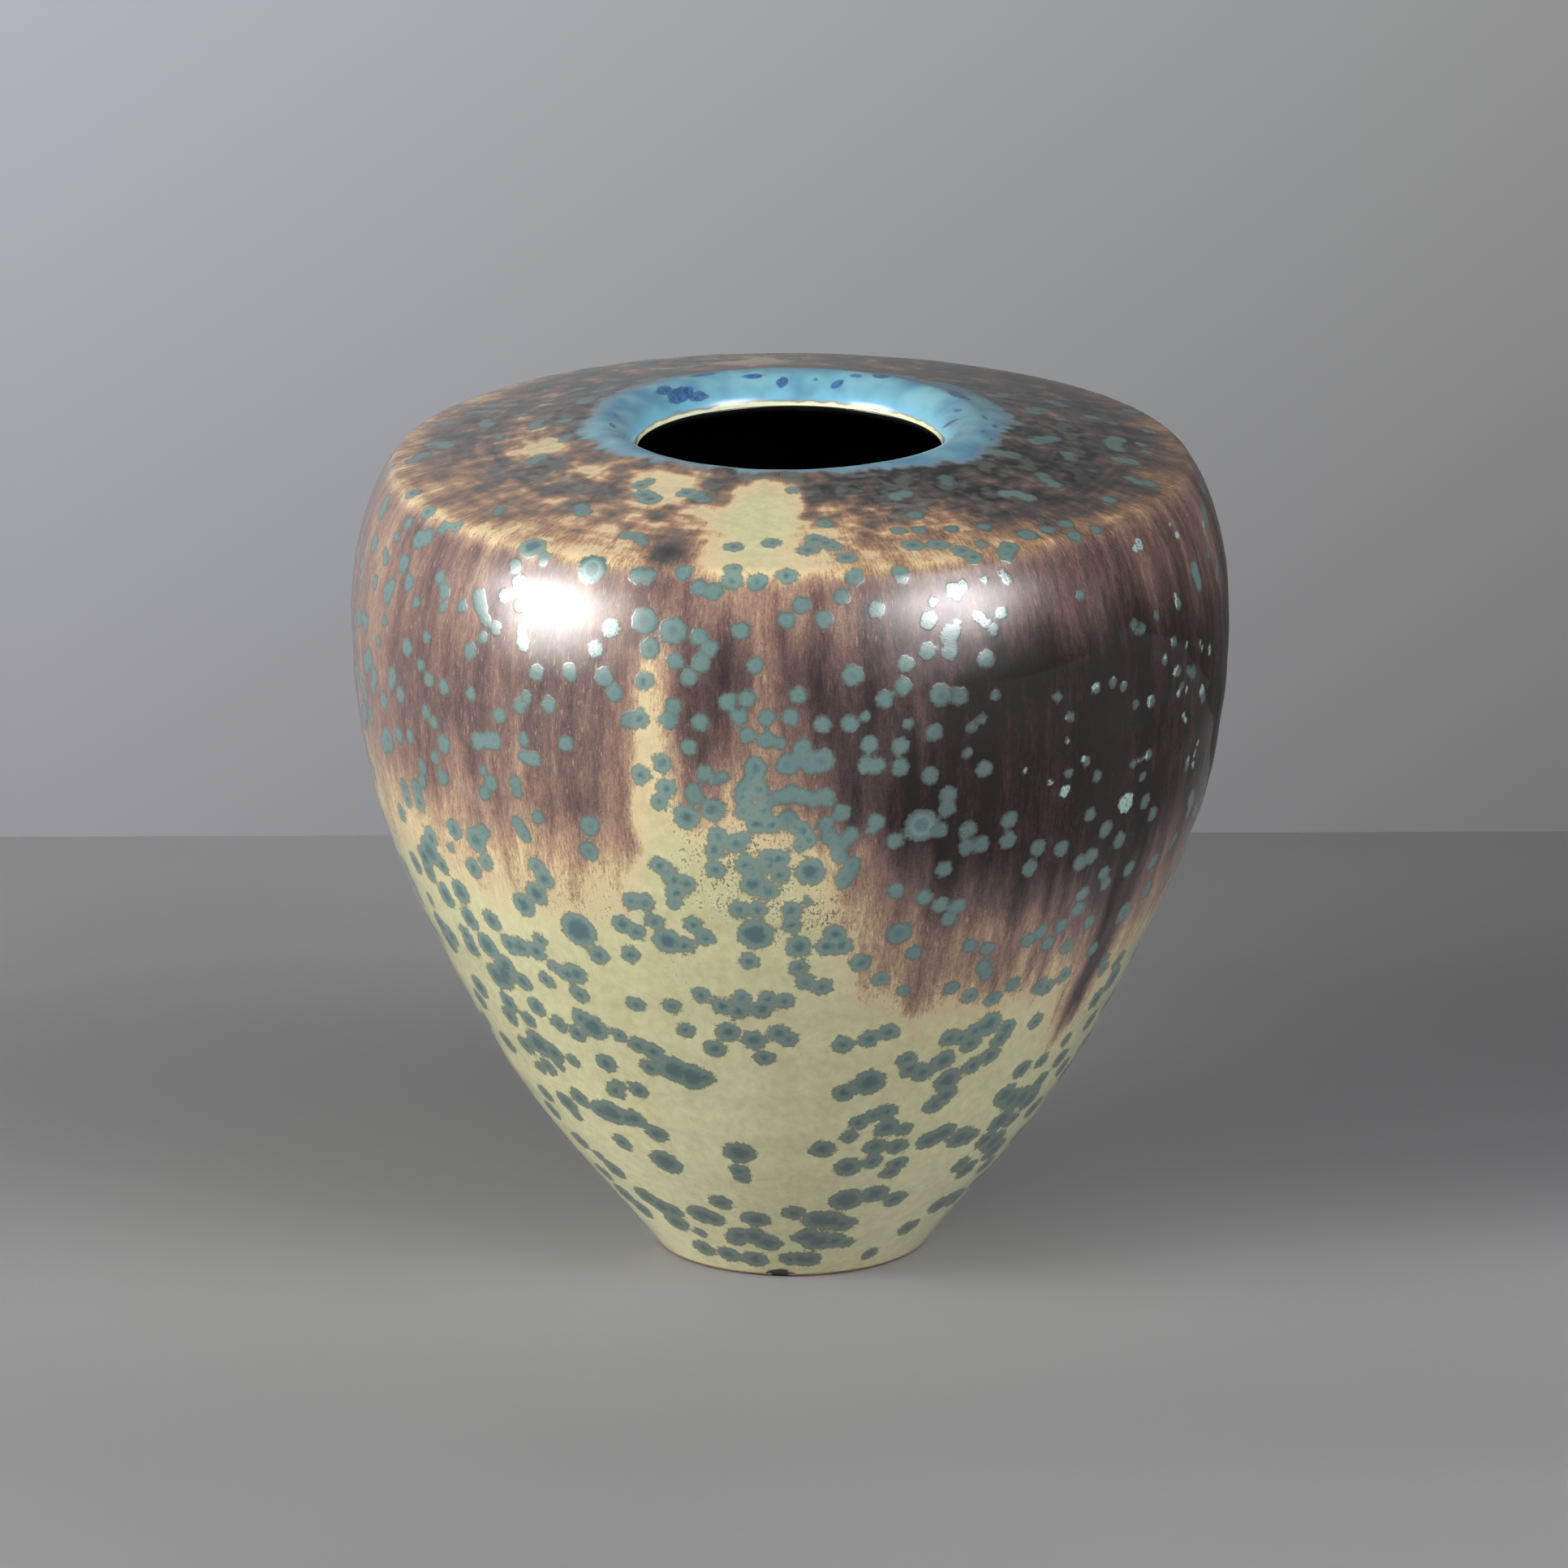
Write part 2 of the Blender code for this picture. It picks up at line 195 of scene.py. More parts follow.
# ------------------------------------------------------------------ glaze zones
# How much iron-brown glaze lies over the cream, given at points on the vase: one row for each distance along
# the contour, "degrees:amount" round the vase. 0 bare cream, 1 peach, 2 mauve-brown, 3 maroon, 4 dark brown, 5 black.
IRON = {
    78: "0:0",
    88: "-180:0 46:0 50:.3 52.3:1.0 54:0 60:0",
    96: "-180:0 46:0 49.5:.6 50.6:1.0 52.3:2.4 54:.6 57:0",
    105: "-126:.4 -110:0 0:0 20:0 40:.1 47.5:.3 49:1.8 50:1.0 51.5:3.2 54:3.4 57:.8 62:.2 90:.3 110:.2 125:0 150:0",
    114: """-135:0 -126:1.8 -118:0 0:0 10:0 16:.35 28:.5 38:.55 47:.6 49:1.9 50.3:1.4 52:3.8 54.5:3.6 57:.9 62:.4 74:.4 92:.4
            105:.5 118:.4 130:0 160:0""",
    122: """-140:0 -130:.2 -126:2.8 -122:.4 -110:0 0:0 8:0 12:.7 18:1.45 28:1.55 36:1.55 46:1.2 49.5:2.0 52.5:4.0 55.5:3.0 58:1.2 64:.9
            74:.9 92:.9 105:1.0 120:.8 132:.2 145:0 165:0""",
    130: """-140:.2 -130:.8 -126:3.4 -122:.9 -112:.2 -98:0 -20:0 4:0 8:.5 12:1.4 18:2.05 28:2.15 36:2.15 44:1.95 49.5:2.4 52:4.1
            55:3.2 58:2.0 64:1.5 74:1.5 92:1.5 105:1.6 120:1.5 135:.7 150:.2 165:0""",
    138: """-160:0 -148:.1 -140:.4 -130:1.8 -126:3.8 -120:1.8 -110:.7 -95:.1 -70:.1 -60:.2 -40:.3 -30:.3 -22:.1 -19:0 0:0 6:.3 10:1.5 15:1.8 20:2.0 28:2.2
            34:2.4 42:2.6 48:2.8 52:4.3 56:3.2 62:2.4 72:2.0 92:2.0 105:2.3 120:2.1 135:1.1 150:.4 165:.1 178:0""",
    148: """-160:0 -148:.4 -140:1.0 -130:2.6 -122:3.0 -110:1.6 -95:.4 -80:.45 -60:.55 -48:.65 -40:.75 -30:.8 -23:.5 -20:0 -5:0 3:.1 7:.9 11:2.0
            16:2.5 22:3.1 28:3.5 36:3.6 44:3.5 52:4.4 58:3.5 66:3.0 75:2.8 92:2.8 105:3.0 120:3.0 135:1.8 150:.9 165:.5 178:.2""",
    158: """-168:.4 -160:0 -150:.7 -140:1.8 -125:3.4 -110:2.4 -95:1.1 -80:.7 -70:.8 -60:.8 -50:.95 -44:1.1 -36:1.05 -28:1.2 -24:1.1 -20.5:.3
            -18.5:0 -10:.1 0:.1 5:.6 9:2.2 14:3.1 20:3.8 28:4.2 36:4.3 45:4.2 52:4.5 60:4.1 70:3.6 92:3.4 105:3.6 120:3.6 135:2.4
            150:1.5 165:1.3 178:.7""",
    168: """-168:1.0 -160:.05 -154:.8 -140:2.6 -125:4.0 -110:3.0 -95:2.0 -80:1.2 -70:1.3 -60:1.25 -52:1.5 -44:1.7 -36:1.55 -30:1.8 -24:2.1
            -21:1.9 -18.8:0 -16.5:.1 -12:.3 -5:.3 2:.45 6:1.0 9:2.2 12:3.2 15:3.9 20:4.4 30:4.5 40:4.5 50:4.5 60:4.4 70:4.0
            92:3.7 105:4.0 120:4.1 135:3.0 150:1.9 165:2.0 178:1.4""",
    178: """-168:1.8 -160:.1 -154:1.4 -140:3.2 -125:4.4 -110:3.4 -95:2.5 -80:1.8 -70:2.2 -60:2.2 -52:2.3 -48:1.5 -42:2.3 -36:2.1
            -30:2.5 -24:2.9 -22:2.6 -20.8:.2 -18.8:0 -16:.2 -13:.9 -8:.6 -3:.6 2:1.0 5:2.2 9:3.5 14:4.3 20:4.5 30:4.6 40:4.6 50:4.5
            60:4.5 70:4.2 92:3.8 105:4.2 120:4.4 135:3.3 150:2.1 165:2.5 178:2.1""",
    188: """-168:2.3 -160:.3 -154:2.0 -140:3.6 -125:4.5 -110:3.5 -95:2.7 -80:2.2 -70:2.7 -60:2.8 -50:2.5 -44:2.6 -38:2.2 -32:2.5
            -26:2.7 -22:2.8 -20.6:.8 -18.5:.2 -16:.6 -13:1.7 -10:1.9 -5:.9 0:2.1 4:3.0 8:3.9 14:4.4 22:4.7 30:4.8 40:4.8 50:4.7 60:4.7
            70:4.5 92:3.9 105:4.3 120:4.5 135:3.7 150:2.3 165:2.6 178:2.6""",
    200: """-168:2.5 -160:.6 -154:2.4 -140:3.6 -125:4.3 -110:3.4 -95:2.8 -80:2.3 -70:2.4 -60:2.7 -52:2.8 -44:2.9 -36:2.5 -30:2.7
            -24:2.9 -21.5:2.5 -20.3:.9 -18.5:.4 -16.5:.7 -14:2.5 -10:3.2 -7:2.7 -4.5:1.3 -2:2.3 0:2.9 5:3.4 12:3.9 18:4.3 25:4.7 32:4.9 45:4.8
            55:4.8 65:4.6 75:4.2 92:3.7 105:4.2 120:4.5 135:3.8 150:2.3 165:2.6 178:2.8""",
    215: """-168:2.6 -160:1.2 -154:2.5 -140:3.2 -125:3.6 -110:3.0 -95:2.6 -80:2.3 -65:2.4 -55:2.5 -45:2.7 -35:2.4 -27:2.7 -22:2.7
            -20.5:1.7 -18.5:.9 -16.3:1.6 -14:2.8 -9:3.4 -6:2.9 -4:1.8 -2:2.6 0:3.0 5:3.2 12:3.3 20:3.6 25:4.3 28:4.5 35:4.8 39:4.2
            42:4.5 50:4.3 60:4.4 70:3.8 80:3.3 92:3.3 105:3.9 120:4.2 135:3.4 150:2.4 165:2.8 178:2.9""",
    230: """-168:2.7 -160:2.2 -154:2.6 -140:3.0 -125:3.1 -110:2.7 -95:2.4 -80:2.3 -70:2.3 -60:2.4 -50:2.6 -40:2.5 -30:2.3 -22:2.4
            -20.5:2.3 -18.5:1.7 -16.5:2.1 -14:2.7 -8:2.9 -4:2.1 -2:2.8 5:2.8 12:2.8 20:2.9 30:2.9 38:3.0 46:3.2 55:3.3 65:3.1 75:2.8 92:3.1 105:3.5
            120:3.7 140:3.2 160:2.8 178:2.7""",
    243: """-160:2.5 -140:2.8 -120:2.6 -100:2.3 -80:2.3 -70:2.5 -60:2.4 -50:2.8 -40:2.5 -30:2.3 -24:2.4 -20:2.8 -14:2.9 -10:1.9 -7:1.3
            -4:2.2 -1:1.5 2:2.4 8:2.7 15:2.6 25:2.6 35:2.7 45:2.9 55:3.0 65:2.9 75:2.7 100:3.0 120:3.2 140:3.0 160:2.7 178:2.4""",
    246.5: """-160:1.0 -140:.9 -120:1.0 -100:1.2 -80:.9 -70:.65 -60:.5 -50:.4 -40:.35 -30:.5 -24:.6 -20:1.8 -15:1.4 -11:.5 -8:.3
            -4:.2 0:.3 6:.8 12:.9 18:1.0 24:1.1 30:1.3 38:1.6 46:1.9 55:2.2 65:2.1 75:2.0 100:2.0 120:1.9 140:1.7 160:1.4 178:1.0""",
    251: """-160:1.0 -140:.8 -120:1.0 -100:1.4 -80:1.7 -70:1.75 -60:1.6 -50:1.4 -40:1.05 -30:1.0 -24:1.0 -21.5:1.5 -20:3.2 -16:3.0 -14.5:1.0
            -11:.4 -4:.15 0:.3 6:.7 12:.8 18:.9 24:1.0 30:1.2 38:1.5 46:1.9 55:2.2 65:2.1 75:2.1 100:2.1 120:2.1 140:1.9 160:1.5
            178:1.0""",
    259: """-160:1.8 -140:2.4 -120:1.9 -100:2.3 -80:2.2 -70:2.1 -60:2.0 -50:1.9 -42:1.7 -36:1.5 -30:1.4 -24:1.5 -21.5:2.2 -20:3.4 -16.5:3.2
            -14.5:1.2 -10:.3 -4:.15 0:.6 6:1.0 14:1.2 22:1.3 30:1.6 38:2.3 46:2.8 55:3.1 65:3.0 75:2.8 100:2.8 120:3.0 140:3.0
            160:2.6 178:1.9""",
    268: """-178:1.4 -168:1.2 -162:2.3 -150:2.0 -136:3.0 -118:2.3 -100:2.8 -80:2.4 -70:2.3 -60:2.1 -50:1.9 -42:1.6 -36:1.3 -30:1.2 -24:1.5 -18:1.4
            -13:.8 -8:.15 -3:.1 1:.8 6:1.1 12:1.2 18:1.3 24:1.6 30:2.4 38:3.3 46:3.2 55:3.5 65:3.7 75:3.6 98:3.6 115:3.6 132:3.4
            150:3.0 168:2.5 175:2.2""",
    277: """-176:.5 -168:.6 -163:2.4 -150:2.2 -136:3.1 -118:2.6 -100:2.6 -80:2.5 -70:2.5 -60:2.1 -52:2.3 -44:2.3 -36:2.3 -30:1.9 -25:2.6 -21:1.6
            -18:.7 -13:.2 -5:0 0:.1 3:1.1 8:1.7 14:1.7 20:2.0 26:2.8 32:3.4 40:3.8 50:3.6 60:3.9 75:3.9 98:3.6 118:3.6 135:3.3
            155:3.0 170:2.6 176:2.0""",
    285: """-177:.3 -168:.3 -163:2.5 -150:2.4 -136:3.2 -118:2.8 -100:1.4 -86:1.6 -82:1.2 -78:.4 -74:.6 -71:2.4 -66:3.2 -62:2.4 -58:1.3 -50:1.9 -44:3.1
            -40:2.2 -36:1.0 -30:.2 -24:.6 -21:2.8 -18:2.4 -16:1.4 -12:.1 -4:0 2:.2 3.5:2.4 5:3.4 10:3.4 16:3.2 22:3.2 30:3.7
            40:3.9 52:3.7 65:4.0 78:3.8 98:3.6 118:3.6 135:3.4 155:3.0 170:2.8 177:2.0""",
    292: """-165:2.0 -150:3.0 -132:3.2 -115:3.2 -98:3.0 -86:2.4 -81:.7 -78:.15 -74:.2 -71:1.2 -68:2.4 -64:1.8 -60:.9 -52:1.8 -46:2.2 -43:1.4
            -41:.4 -34:.05 -26:.05 -22:.6 -20.5:2.6 -18:3.6 -14.5:3.2 -12.5:.6 -10:.1 -4:0 2:.2 3.5:2.6 5:3.6 12:3.7 20:3.5 30:3.9
            40:3.9 52:3.6 65:3.9 78:3.7 95:3.6 112:3.6 130:3.3 150:3.2 166:2.6 178:1.2""",
    298: """-165:2.8 -150:3.0 -132:3.0 -115:3.4 -98:3.2 -84:3.0 -76:2.2 -70:2.8 -60:2.4 -50:2.6 -42:2.4 -36:.6 -28:.3 -23:1.6 -20:3.2 -16:3.6
            -13:2.6 -11:1.0 -8:.5 -2:.5 2:1.6 4:3.0 8:3.6 20:3.6 40:3.8 60:3.6 80:3.4 112:3.6 150:3.2 178:2.6""",
    306: "-180:3.2 0:3.2",
}


def painted(rows):
    """The given rows, interpolated round the vase and along it, and softened a little both ways."""
    keys = sorted(rows)
    table = []
    deg = DEG[0]
    for k in keys:
        pts = sorted(tuple(float(v) for v in w.split(":")) for w in rows[k].split())
        a = np.array([p[0] for p in pts])
        v = np.array([p[1] for p in pts])
        table.append(np.interp(deg, np.r_[a - 360, a, a + 360], np.r_[v, v, v]))
    table = np.array(table)
    field = np.empty(SHAPE)
    for j in range(NSEG):
        field[:, j] = np.interp(ROWS, keys, table[:, j])
    for axis, sigma in ((1, 1.0), (0, 1.3)):
        k = int(sigma * 4)
        g = np.exp(-0.5 * (np.arange(-k, k + 1) / sigma) ** 2)
        g /= g.sum()
        if axis == 1:
            field = sum(w * np.roll(field, i - k, 1) for i, w in enumerate(g))
        else:
            padded = np.pad(field, ((k, k), (0, 0)), mode="edge")
            field = sum(w * padded[i:i + SHAPE[0]] for i, w in enumerate(g))
    return field


iron = painted(IRON)
# uneven drips: the rows above shift a few millimetres up or down from place to place
ragged = 0.9 * waves(11, 60, 7, 60, 0.25) + 0.5 * waves(12, 50, 4, 22, 0.15)
slope = np.gradient(iron, axis=0) / np.gradient(SS, axis=0)
iron = iron + np.clip(slope, -0.05, 0.12) * 4.5 * ragged * step01(SS, 240, 232)
iron += 0.22 * waves(13, 70, 9, 40, 0.35) * step01(iron, 1.4, 2.4)
iron = np.clip(iron, 0, 5)

blush = iron.copy()          # the same amounts spread over about 10 mm, for the tan haze beside and below the brown
for axis, sigma in ((1, 5.0), (0, 8.0)):
    k = int(sigma * 3)
    g = np.exp(-0.5 * (np.arange(-k, k + 1) / sigma) ** 2)
    g /= g.sum()
    if axis == 1:
        blush = sum(w * np.roll(blush, i - k, 1) for i, w in enumerate(g))
    else:
        padded = np.pad(blush, ((k, k), (0, 0)), mode="edge")
        blush = sum(w * padded[i:i + SHAPE[0]] for i, w in enumerate(g))
blush = np.clip(blush, 0, 2)

speck = np.zeros(SHAPE)     # fine dark speckle in the cream just below the brown coat
for th, s, wide, tall, much in (
    (-6, 163, 17, 14, 1.0), (2, 150, 14, 12, 0.8), (-14, 176, 6, 12, 0.5), (-30, 150, 18, 9, 0.35), (-17, 132, 9, 14, 0.2),
    (18, 122, 14, 8, 0.4), (60, 98, 26, 9, 0.35), (120, 122, 26, 10, 0.5), (-145, 146, 26, 10, 0.5), (-75, 150, 22, 8, 0.35),
    (165, 150, 24, 10, 0.6), (-5, 190, 9, 10, 0.7),
):
    speck = np.maximum(speck, much * bump(th, s, wide, tall, 1.2))

tone = waves(41, 60, 40, 120, 0.7)                                  # slow drift of colour
streaky = waves(42, 70, 12, 300, 0.3)                               # long faint runs down the wall
top = step01(SS, 244.5, 249)

# ------------------------------------------------------------------ blue collar
BLUE_EDGE = [
    (-180, 304), (-161, 303.5), (-140, 298), (-125, 299.5), (-107, 301), (-90, 300), (-72, 300), (-60, 300), (-44, 302.5),
    (-32, 304), (-20, 304), (-8, 304.8), (2.5, 304.5), (14, 303.2), (27, 302), (40, 300.5), (48, 297.5), (55, 295.5), (62, 297),
    (77, 297.5), (90, 297), (101, 295), (116, 296), (132, 293.5), (145, 297), (152, 296.5), (164, 301), (177, 304.5),
]
blue = SS - along(BLUE_EDGE) + 0.7 * waves(51, 60, 6, 20, 0.2) + 0.9 * waves(52, 30, 16, 40, 0.3)
blue = np.clip(blue, -8, 12)
cobalt = np.zeros(SHAPE)
for th, s, wide, tall, much, lean in (
    (-138, 312.3, 5.5, 2.8, 1.0, 0.6), (-133, 309.5, 4, 2.2, 0.8, 0.4), (-145, 314, 4, 1.8, 0.9, 0), (-152, 306, 6, 1.6, 0.75, 0),
    (-168, 309.5, 4, 1.3, 0.85, 0), (-177.5, 312, 2.0, 2.2, 0.9, 0.3), (-113, 303.5, 5, 2, 0.35, 0), (-98, 309, 4, 2, 0.5, 0.5),
    (171, 311, 1.2, 1.2, 0.6, 0), (163, 312, 1.8, 2.0, 0.9, 0.5), (158, 308, 2.4, 1.4, 0.7, 0), (150, 306, 3.6, 2.4, 0.8, 0),
    (124, 302, 5, 2.4, 0.85, 0), (118, 304, 5.5, 2.6, 1.0, 0.3), (98, 313.2, 1.6, 3.4, 0.85, 0.9), (104, 309.5, 2.2, 1.3, 0.8, 1.2),
    (92, 303.5, 2.8, 1.4, 0.6, 0.8), (86, 300.5, 3, 1.2, 0.7, 0.8), (78, 303, 1.6, 1.0, 0.7, 0), (73, 299.5, 2.0, 1.0, 0.6, 0.4),
    (-86, 308.5, 3.5, 1.5, 0.7, 0.4), (-76, 311.5, 2.6, 1.4, 0.75, 0), (28, 303, 4, 1.8, 0.3, 0), (-34, 304, 4, 1.8, 0.3, 0),
):
    cobalt = np.maximum(cobalt, much * bump(th, s, wide, tall, 1.3, lean))
chip = np.maximum(bump(-6.4, 1.9, 2.7, 1.6, 1.4, 0.9), 0.85 * bump(-2.4, 1.2, 2.4, 0.8, 1.3))       # a dark chip at the edge of the foot
lip = np.clip(SS - S_LIP + 0.25 * waves(61, 30, 14, 30, 0.3), -6, 6)

# ------------------------------------------------------------------ crystals
# the ones that stand out at the front, listed one by one: (degrees, mm along the contour, radius mm[, kind])
# kind 0 is a plain crystal, 1 has a pale ring round a dark middle, 2 is very pale: pale flecks of its own in the dark
# areas, and a painted highlight on the crystals set under the two lights
PLACED = [
    # upper wall and ridge, front left to centre
    (-34.5, 214, 2.3), (-29.5, 216, 2.3), (-24.5, 216, 2.7), (-23, 212, 2.4), (-19, 216, 2.3), (-18.5, 225, 2.7),
    (-19.5, 232, 3.6), (-15.5, 230, 3.6), (-12, 229, 2.3), (-10.5, 226, 2.3), (-15, 222, 2.3), (-13, 218, 2.3),
    (-11.5, 222, 2.3), (-6.5, 231, 2.3), (-0.5, 234, 2.3), (-4.5, 222, 2.3), (1.5, 238, 2.3), (-12.5, 242, 2.3),
    (-10.5, 241, 2.3), (-8, 248, 2), (-8, 244, 2.3), (-4.5, 244, 2.3), (-0.5, 246, 2.3), (-9, 260, 2.2),
    (-3, 263, 2.2), (-28.5, 244, 4, 1), (-21.5, 244, 2.3), (-20, 244, 2.3), (-15, 246, 2.3), (-32.5, 206, 2.3),
    (-30, 196, 2.3), (-35, 190, 2.3), (-21, 205, 2.3), (-19.5, 206, 2.3), (-15.5, 206, 2.3), (-15, 210, 2.3),
    (-11.5, 206, 2.3), (-8, 212, 2.3), (-6.5, 208, 2.3), (-5.5, 213, 2.3), (-3, 208, 2.3), (-3, 202, 2.3),
    (0, 208, 2.3), (1, 214, 2.3), (-13, 199, 2.3), (-16.5, 194, 2.3), (-5.5, 203, 2.3), (-4.5, 194, 3.1),
    (-0.5, 195, 3.1), (1.5, 200, 2.3), (-11, 192, 2.3), (-19.5, 190, 2.3),
    # upper wall and ridge, right
    (6.5, 274, 2), (19, 267, 2), (22.5, 266, 2), (19.5, 258, 2.6), (23.5, 257, 2.6), (28, 264, 2),
    (26, 252, 2.6), (33.5, 262, 2), (38.5, 254, 2.9), (42.5, 254, 2.2), (46.5, 254, 2.2), (45, 248, 2.3),
    (49.5, 248, 2), (27, 248, 2.3), (32, 247, 2.3), (33.5, 250, 2.6), (8.5, 254, 2.6), (9, 245, 2.3),
    (15.5, 245, 2.3), (7, 240, 2.2), (11.5, 236, 2.3), (4.5, 234, 2.3), (18.5, 232, 2.3), (21.5, 228, 2.3),
    (21, 223, 2.3), (8, 219, 2.9), (15, 221, 2.3), (18, 224, 2.3), (14.5, 215, 2.3), (12, 212, 2.3),
    (19.5, 212, 2.9), (22, 211, 2.3), (26, 220, 2.3), (27, 210, 1.3), (7.5, 206, 2.3), (9.5, 208, 1.3),
    (4, 206, 2.3), (15, 205, 1.3), (18.5, 202, 2.3), (23.5, 202, 1.3), (25, 204, 1.3), (10, 200, 2.3),
    (14, 199, 2.3), (4, 196, 3.3), (9.5, 194, 2.3), (11, 194, 2.3), (14, 193, 2.3), (18, 190, 2.3),
    (23, 195, 1.3), (25.5, 190, 2.3),
    # small pale ones in the dark area
    (36.5, 206, 1.1), (38.5, 200, 1.1), (43, 206, 1.1), (46, 206, 1.1), (48, 204, 1.1), (50.5, 198, 1.1),
    (54, 197, 1.3), (60.5, 202, 1.3), (57, 207, 1.1), (52.5, 218, 1.3), (51, 220, 1.1), (42, 232, 1.3),
    (56, 220, 1.1), (59.5, 211, 1.3), (62, 220, 1.3), (54, 182, 1.1), (50.5, 181, 1.1), (41.5, 186, 1.1),
    (38.5, 184, 1.1), (43.5, 181, 1.3), (53, 176, 1.3),
    # centre, the dense cluster
    (-16, 187, 2.3), (-17, 183, 2), (-12.5, 186, 2.3), (-13.5, 179, 3.1), (-10, 182, 3.1), (-6, 188, 2.3),
    (-4, 188, 2.3), (-6, 182, 2.3), (-4.5, 178, 2.3), (-2.5, 178, 2.3), (-3.5, 182, 2), (-1.5, 186, 2),
    (1.5, 186, 2.3), (3, 185, 2.3), (4.5, 186, 2.3), (6.5, 181, 2.3), (-0.5, 180, 2.3), (1.5, 176, 2.3),
    (-9.5, 174, 2.3), (-10, 170, 2.3), (-10, 164, 2.3), (-7, 172, 2.3), (5, 174, 2.3), (6.5, 172, 2.3),
    (8, 166, 2.3), (7, 161, 2.3), (4.5, 178, 2.3), (11, 178, 2.3), (13.5, 172, 2.3), (14, 157, 2.3),
    (-6, 166, 2.3), (-3, 168, 2.3), (-1.5, 168, 2.3), (-1.5, 163, 2.3), (-5, 160, 3.1), (-3, 158, 2.3),
    (2.5, 164, 3.6), (-17.5, 164, 2.3), (-15.5, 160, 2.3), (-15.5, 156, 2.3), (-14, 159, 2.3), (-20, 152, 2.3),
    (-7, 152, 2.3), (-4.5, 152, 2.3), (-5, 144, 4.5), (-6, 135, 2.3), (0, 152, 2.3), (0, 147, 2.3),
    (1, 140, 3.1), (1, 133, 2.3), (2, 128, 2.3), (4.5, 126, 2.3), (6, 144, 2.7), (5, 140, 2.7), (7, 140, 2.7),
    (10, 134, 2.7), (13, 128, 2.3), (17, 123, 1.8), (15, 143, 3.6), (-13.5, 146, 2.3), (-12, 142, 2.3),
    (-19, 146, 2.3), (-17.5, 140, 3.6), (-15, 139, 2.3), (-22, 142, 2.3), (-13.5, 122, 2.3), (-7.5, 122, 2.3),
    (-1, 121, 2.3), (-3.5, 122, 2.3), (-18.5, 117, 2.3), (-24.5, 116, 2.3),
    # right of centre
    (17, 176, 4.5, 1), (19.5, 174, 2.3), (20.5, 184, 2.3), (20.5, 180, 2.3), (29.5, 174, 2.3), (29.5, 168, 2.3),
    (23.5, 173, 2.3), (25.5, 168, 2.3), (23.5, 168, 2.3), (34.5, 164, 2.3), (38.5, 162, 2.3), (33.5, 158, 2.3),
    (20.5, 162, 2.3), (18, 154, 2.3), (20.5, 151, 2.3), (23, 150, 2.3), (22, 146, 2.3), (17.5, 136, 2.3),
    (26, 136, 2.3), (29, 134, 2.3), (36, 134, 2.3), (38, 136, 2.3), (40, 131, 2.3), (29, 128, 2.3),
    (30, 125, 2.3), (24.5, 122, 2.3), (28, 118, 2.3), (32.5, 115, 2.3), (35.5, 119, 2.3), (41.5, 116, 2.3),
    (43.5, 114, 2.3), (46.5, 117, 2.3), (44.5, 128, 2.3), (48, 134, 2.3), (44.5, 140, 2.3), (42, 136, 2.3),
    (51.5, 123, 2.3), (48, 150, 2), (49, 146, 2), (44.5, 145, 2.3), (57, 132, 3.3), (54, 148, 2.3),
    (43, 170, 1.8), (46.5, 164, 2.3), (50, 159, 2.3), (50, 170, 2.9, 2), (54.5, 168, 2), (57, 163, 2),
    (44.5, 157, 2.3), (42.5, 156, 2.3), (57, 116, 2), (59, 112, 2), (38, 179, 1.6, 2),
    # left wall, upper
    (-64, 246.5, 2.6), (-58, 244.5, 2), (-55.5, 246.5, 1.8), (-67.2, 241, 2), (-39.5, 247.5, 3.6), (-41, 241, 2),
    (-36.5, 244.5, 1.8), (-54.5, 232, 2), (-52.8, 229, 2.4), (-52.5, 224.5, 1.6), (-48.7, 226.5, 2),
    (-46, 230.5, 2.4), (-45.2, 228, 2.4), (-44, 225, 1.8), (-42, 223.5, 2), (-44, 220, 1.6), (-46, 215.5, 2.4),
    (-61.5, 227, 2.4), (-58.7, 223, 1.8), (-67, 221, 3), (-66, 224, 2), (-69, 236, 1.6), (-66.5, 213.5, 1.8),
    (-68.3, 207, 1.8), (-55, 215, 1.8), (-59.5, 210, 2.6), (-56, 207, 1.7), (-54, 204, 2.2), (-50.8, 203.3, 2.3),
    (-45.5, 203.8, 1.9), (-40.5, 200, 2.2), (-72, 200, 3), (-74, 197, 3), (-70, 196, 2.4), (-63.5, 200, 2.4),
    (-64.3, 197, 1.9), (-61.5, 195.5, 2.3), (-67, 191, 2.6), (-71, 192.5, 2.4), (-55, 194, 2), (-53.3, 192, 1.8),
    (-51.3, 187, 2.7), (-44.5, 191, 2.4), (-42.8, 192, 2.2), (-41.5, 192.5, 2.6), (-73, 183, 2.6),
    (-66.5, 180, 3.6), (-68.5, 177.5, 2.8), (-62.5, 183.5, 2.3), (-59.3, 185, 2), (-53.5, 182, 2),
    (-52.2, 177, 2.3), (-57, 177.5, 2.3), (-43.8, 183, 1.7), (-42.5, 180, 2.4), (-44, 176.5, 2.2),
    (-38.3, 182, 2), (-38, 179, 1.8), (-36.5, 190, 2), (-36.5, 195, 1.8), (-37, 204, 2), (-36, 207, 1.8),
    (-38.5, 170, 2.2), (-37.5, 167, 2.2), (-78, 208, 3), (-76, 230, 2.6), (-80, 222, 2.4), (-82, 190, 2.6),
    # left wall, lower
    (-59.5, 170, 2.6), (-57.5, 173, 2), (-59.3, 166, 2.6), (-58, 156, 2.8), (-59.5, 151, 4), (-62, 147.5, 3.4),
    (-57, 148, 2.6), (-62.5, 142.5, 2.8), (-51.5, 162, 2.8), (-47, 161, 3.4), (-45.2, 164.5, 2.4),
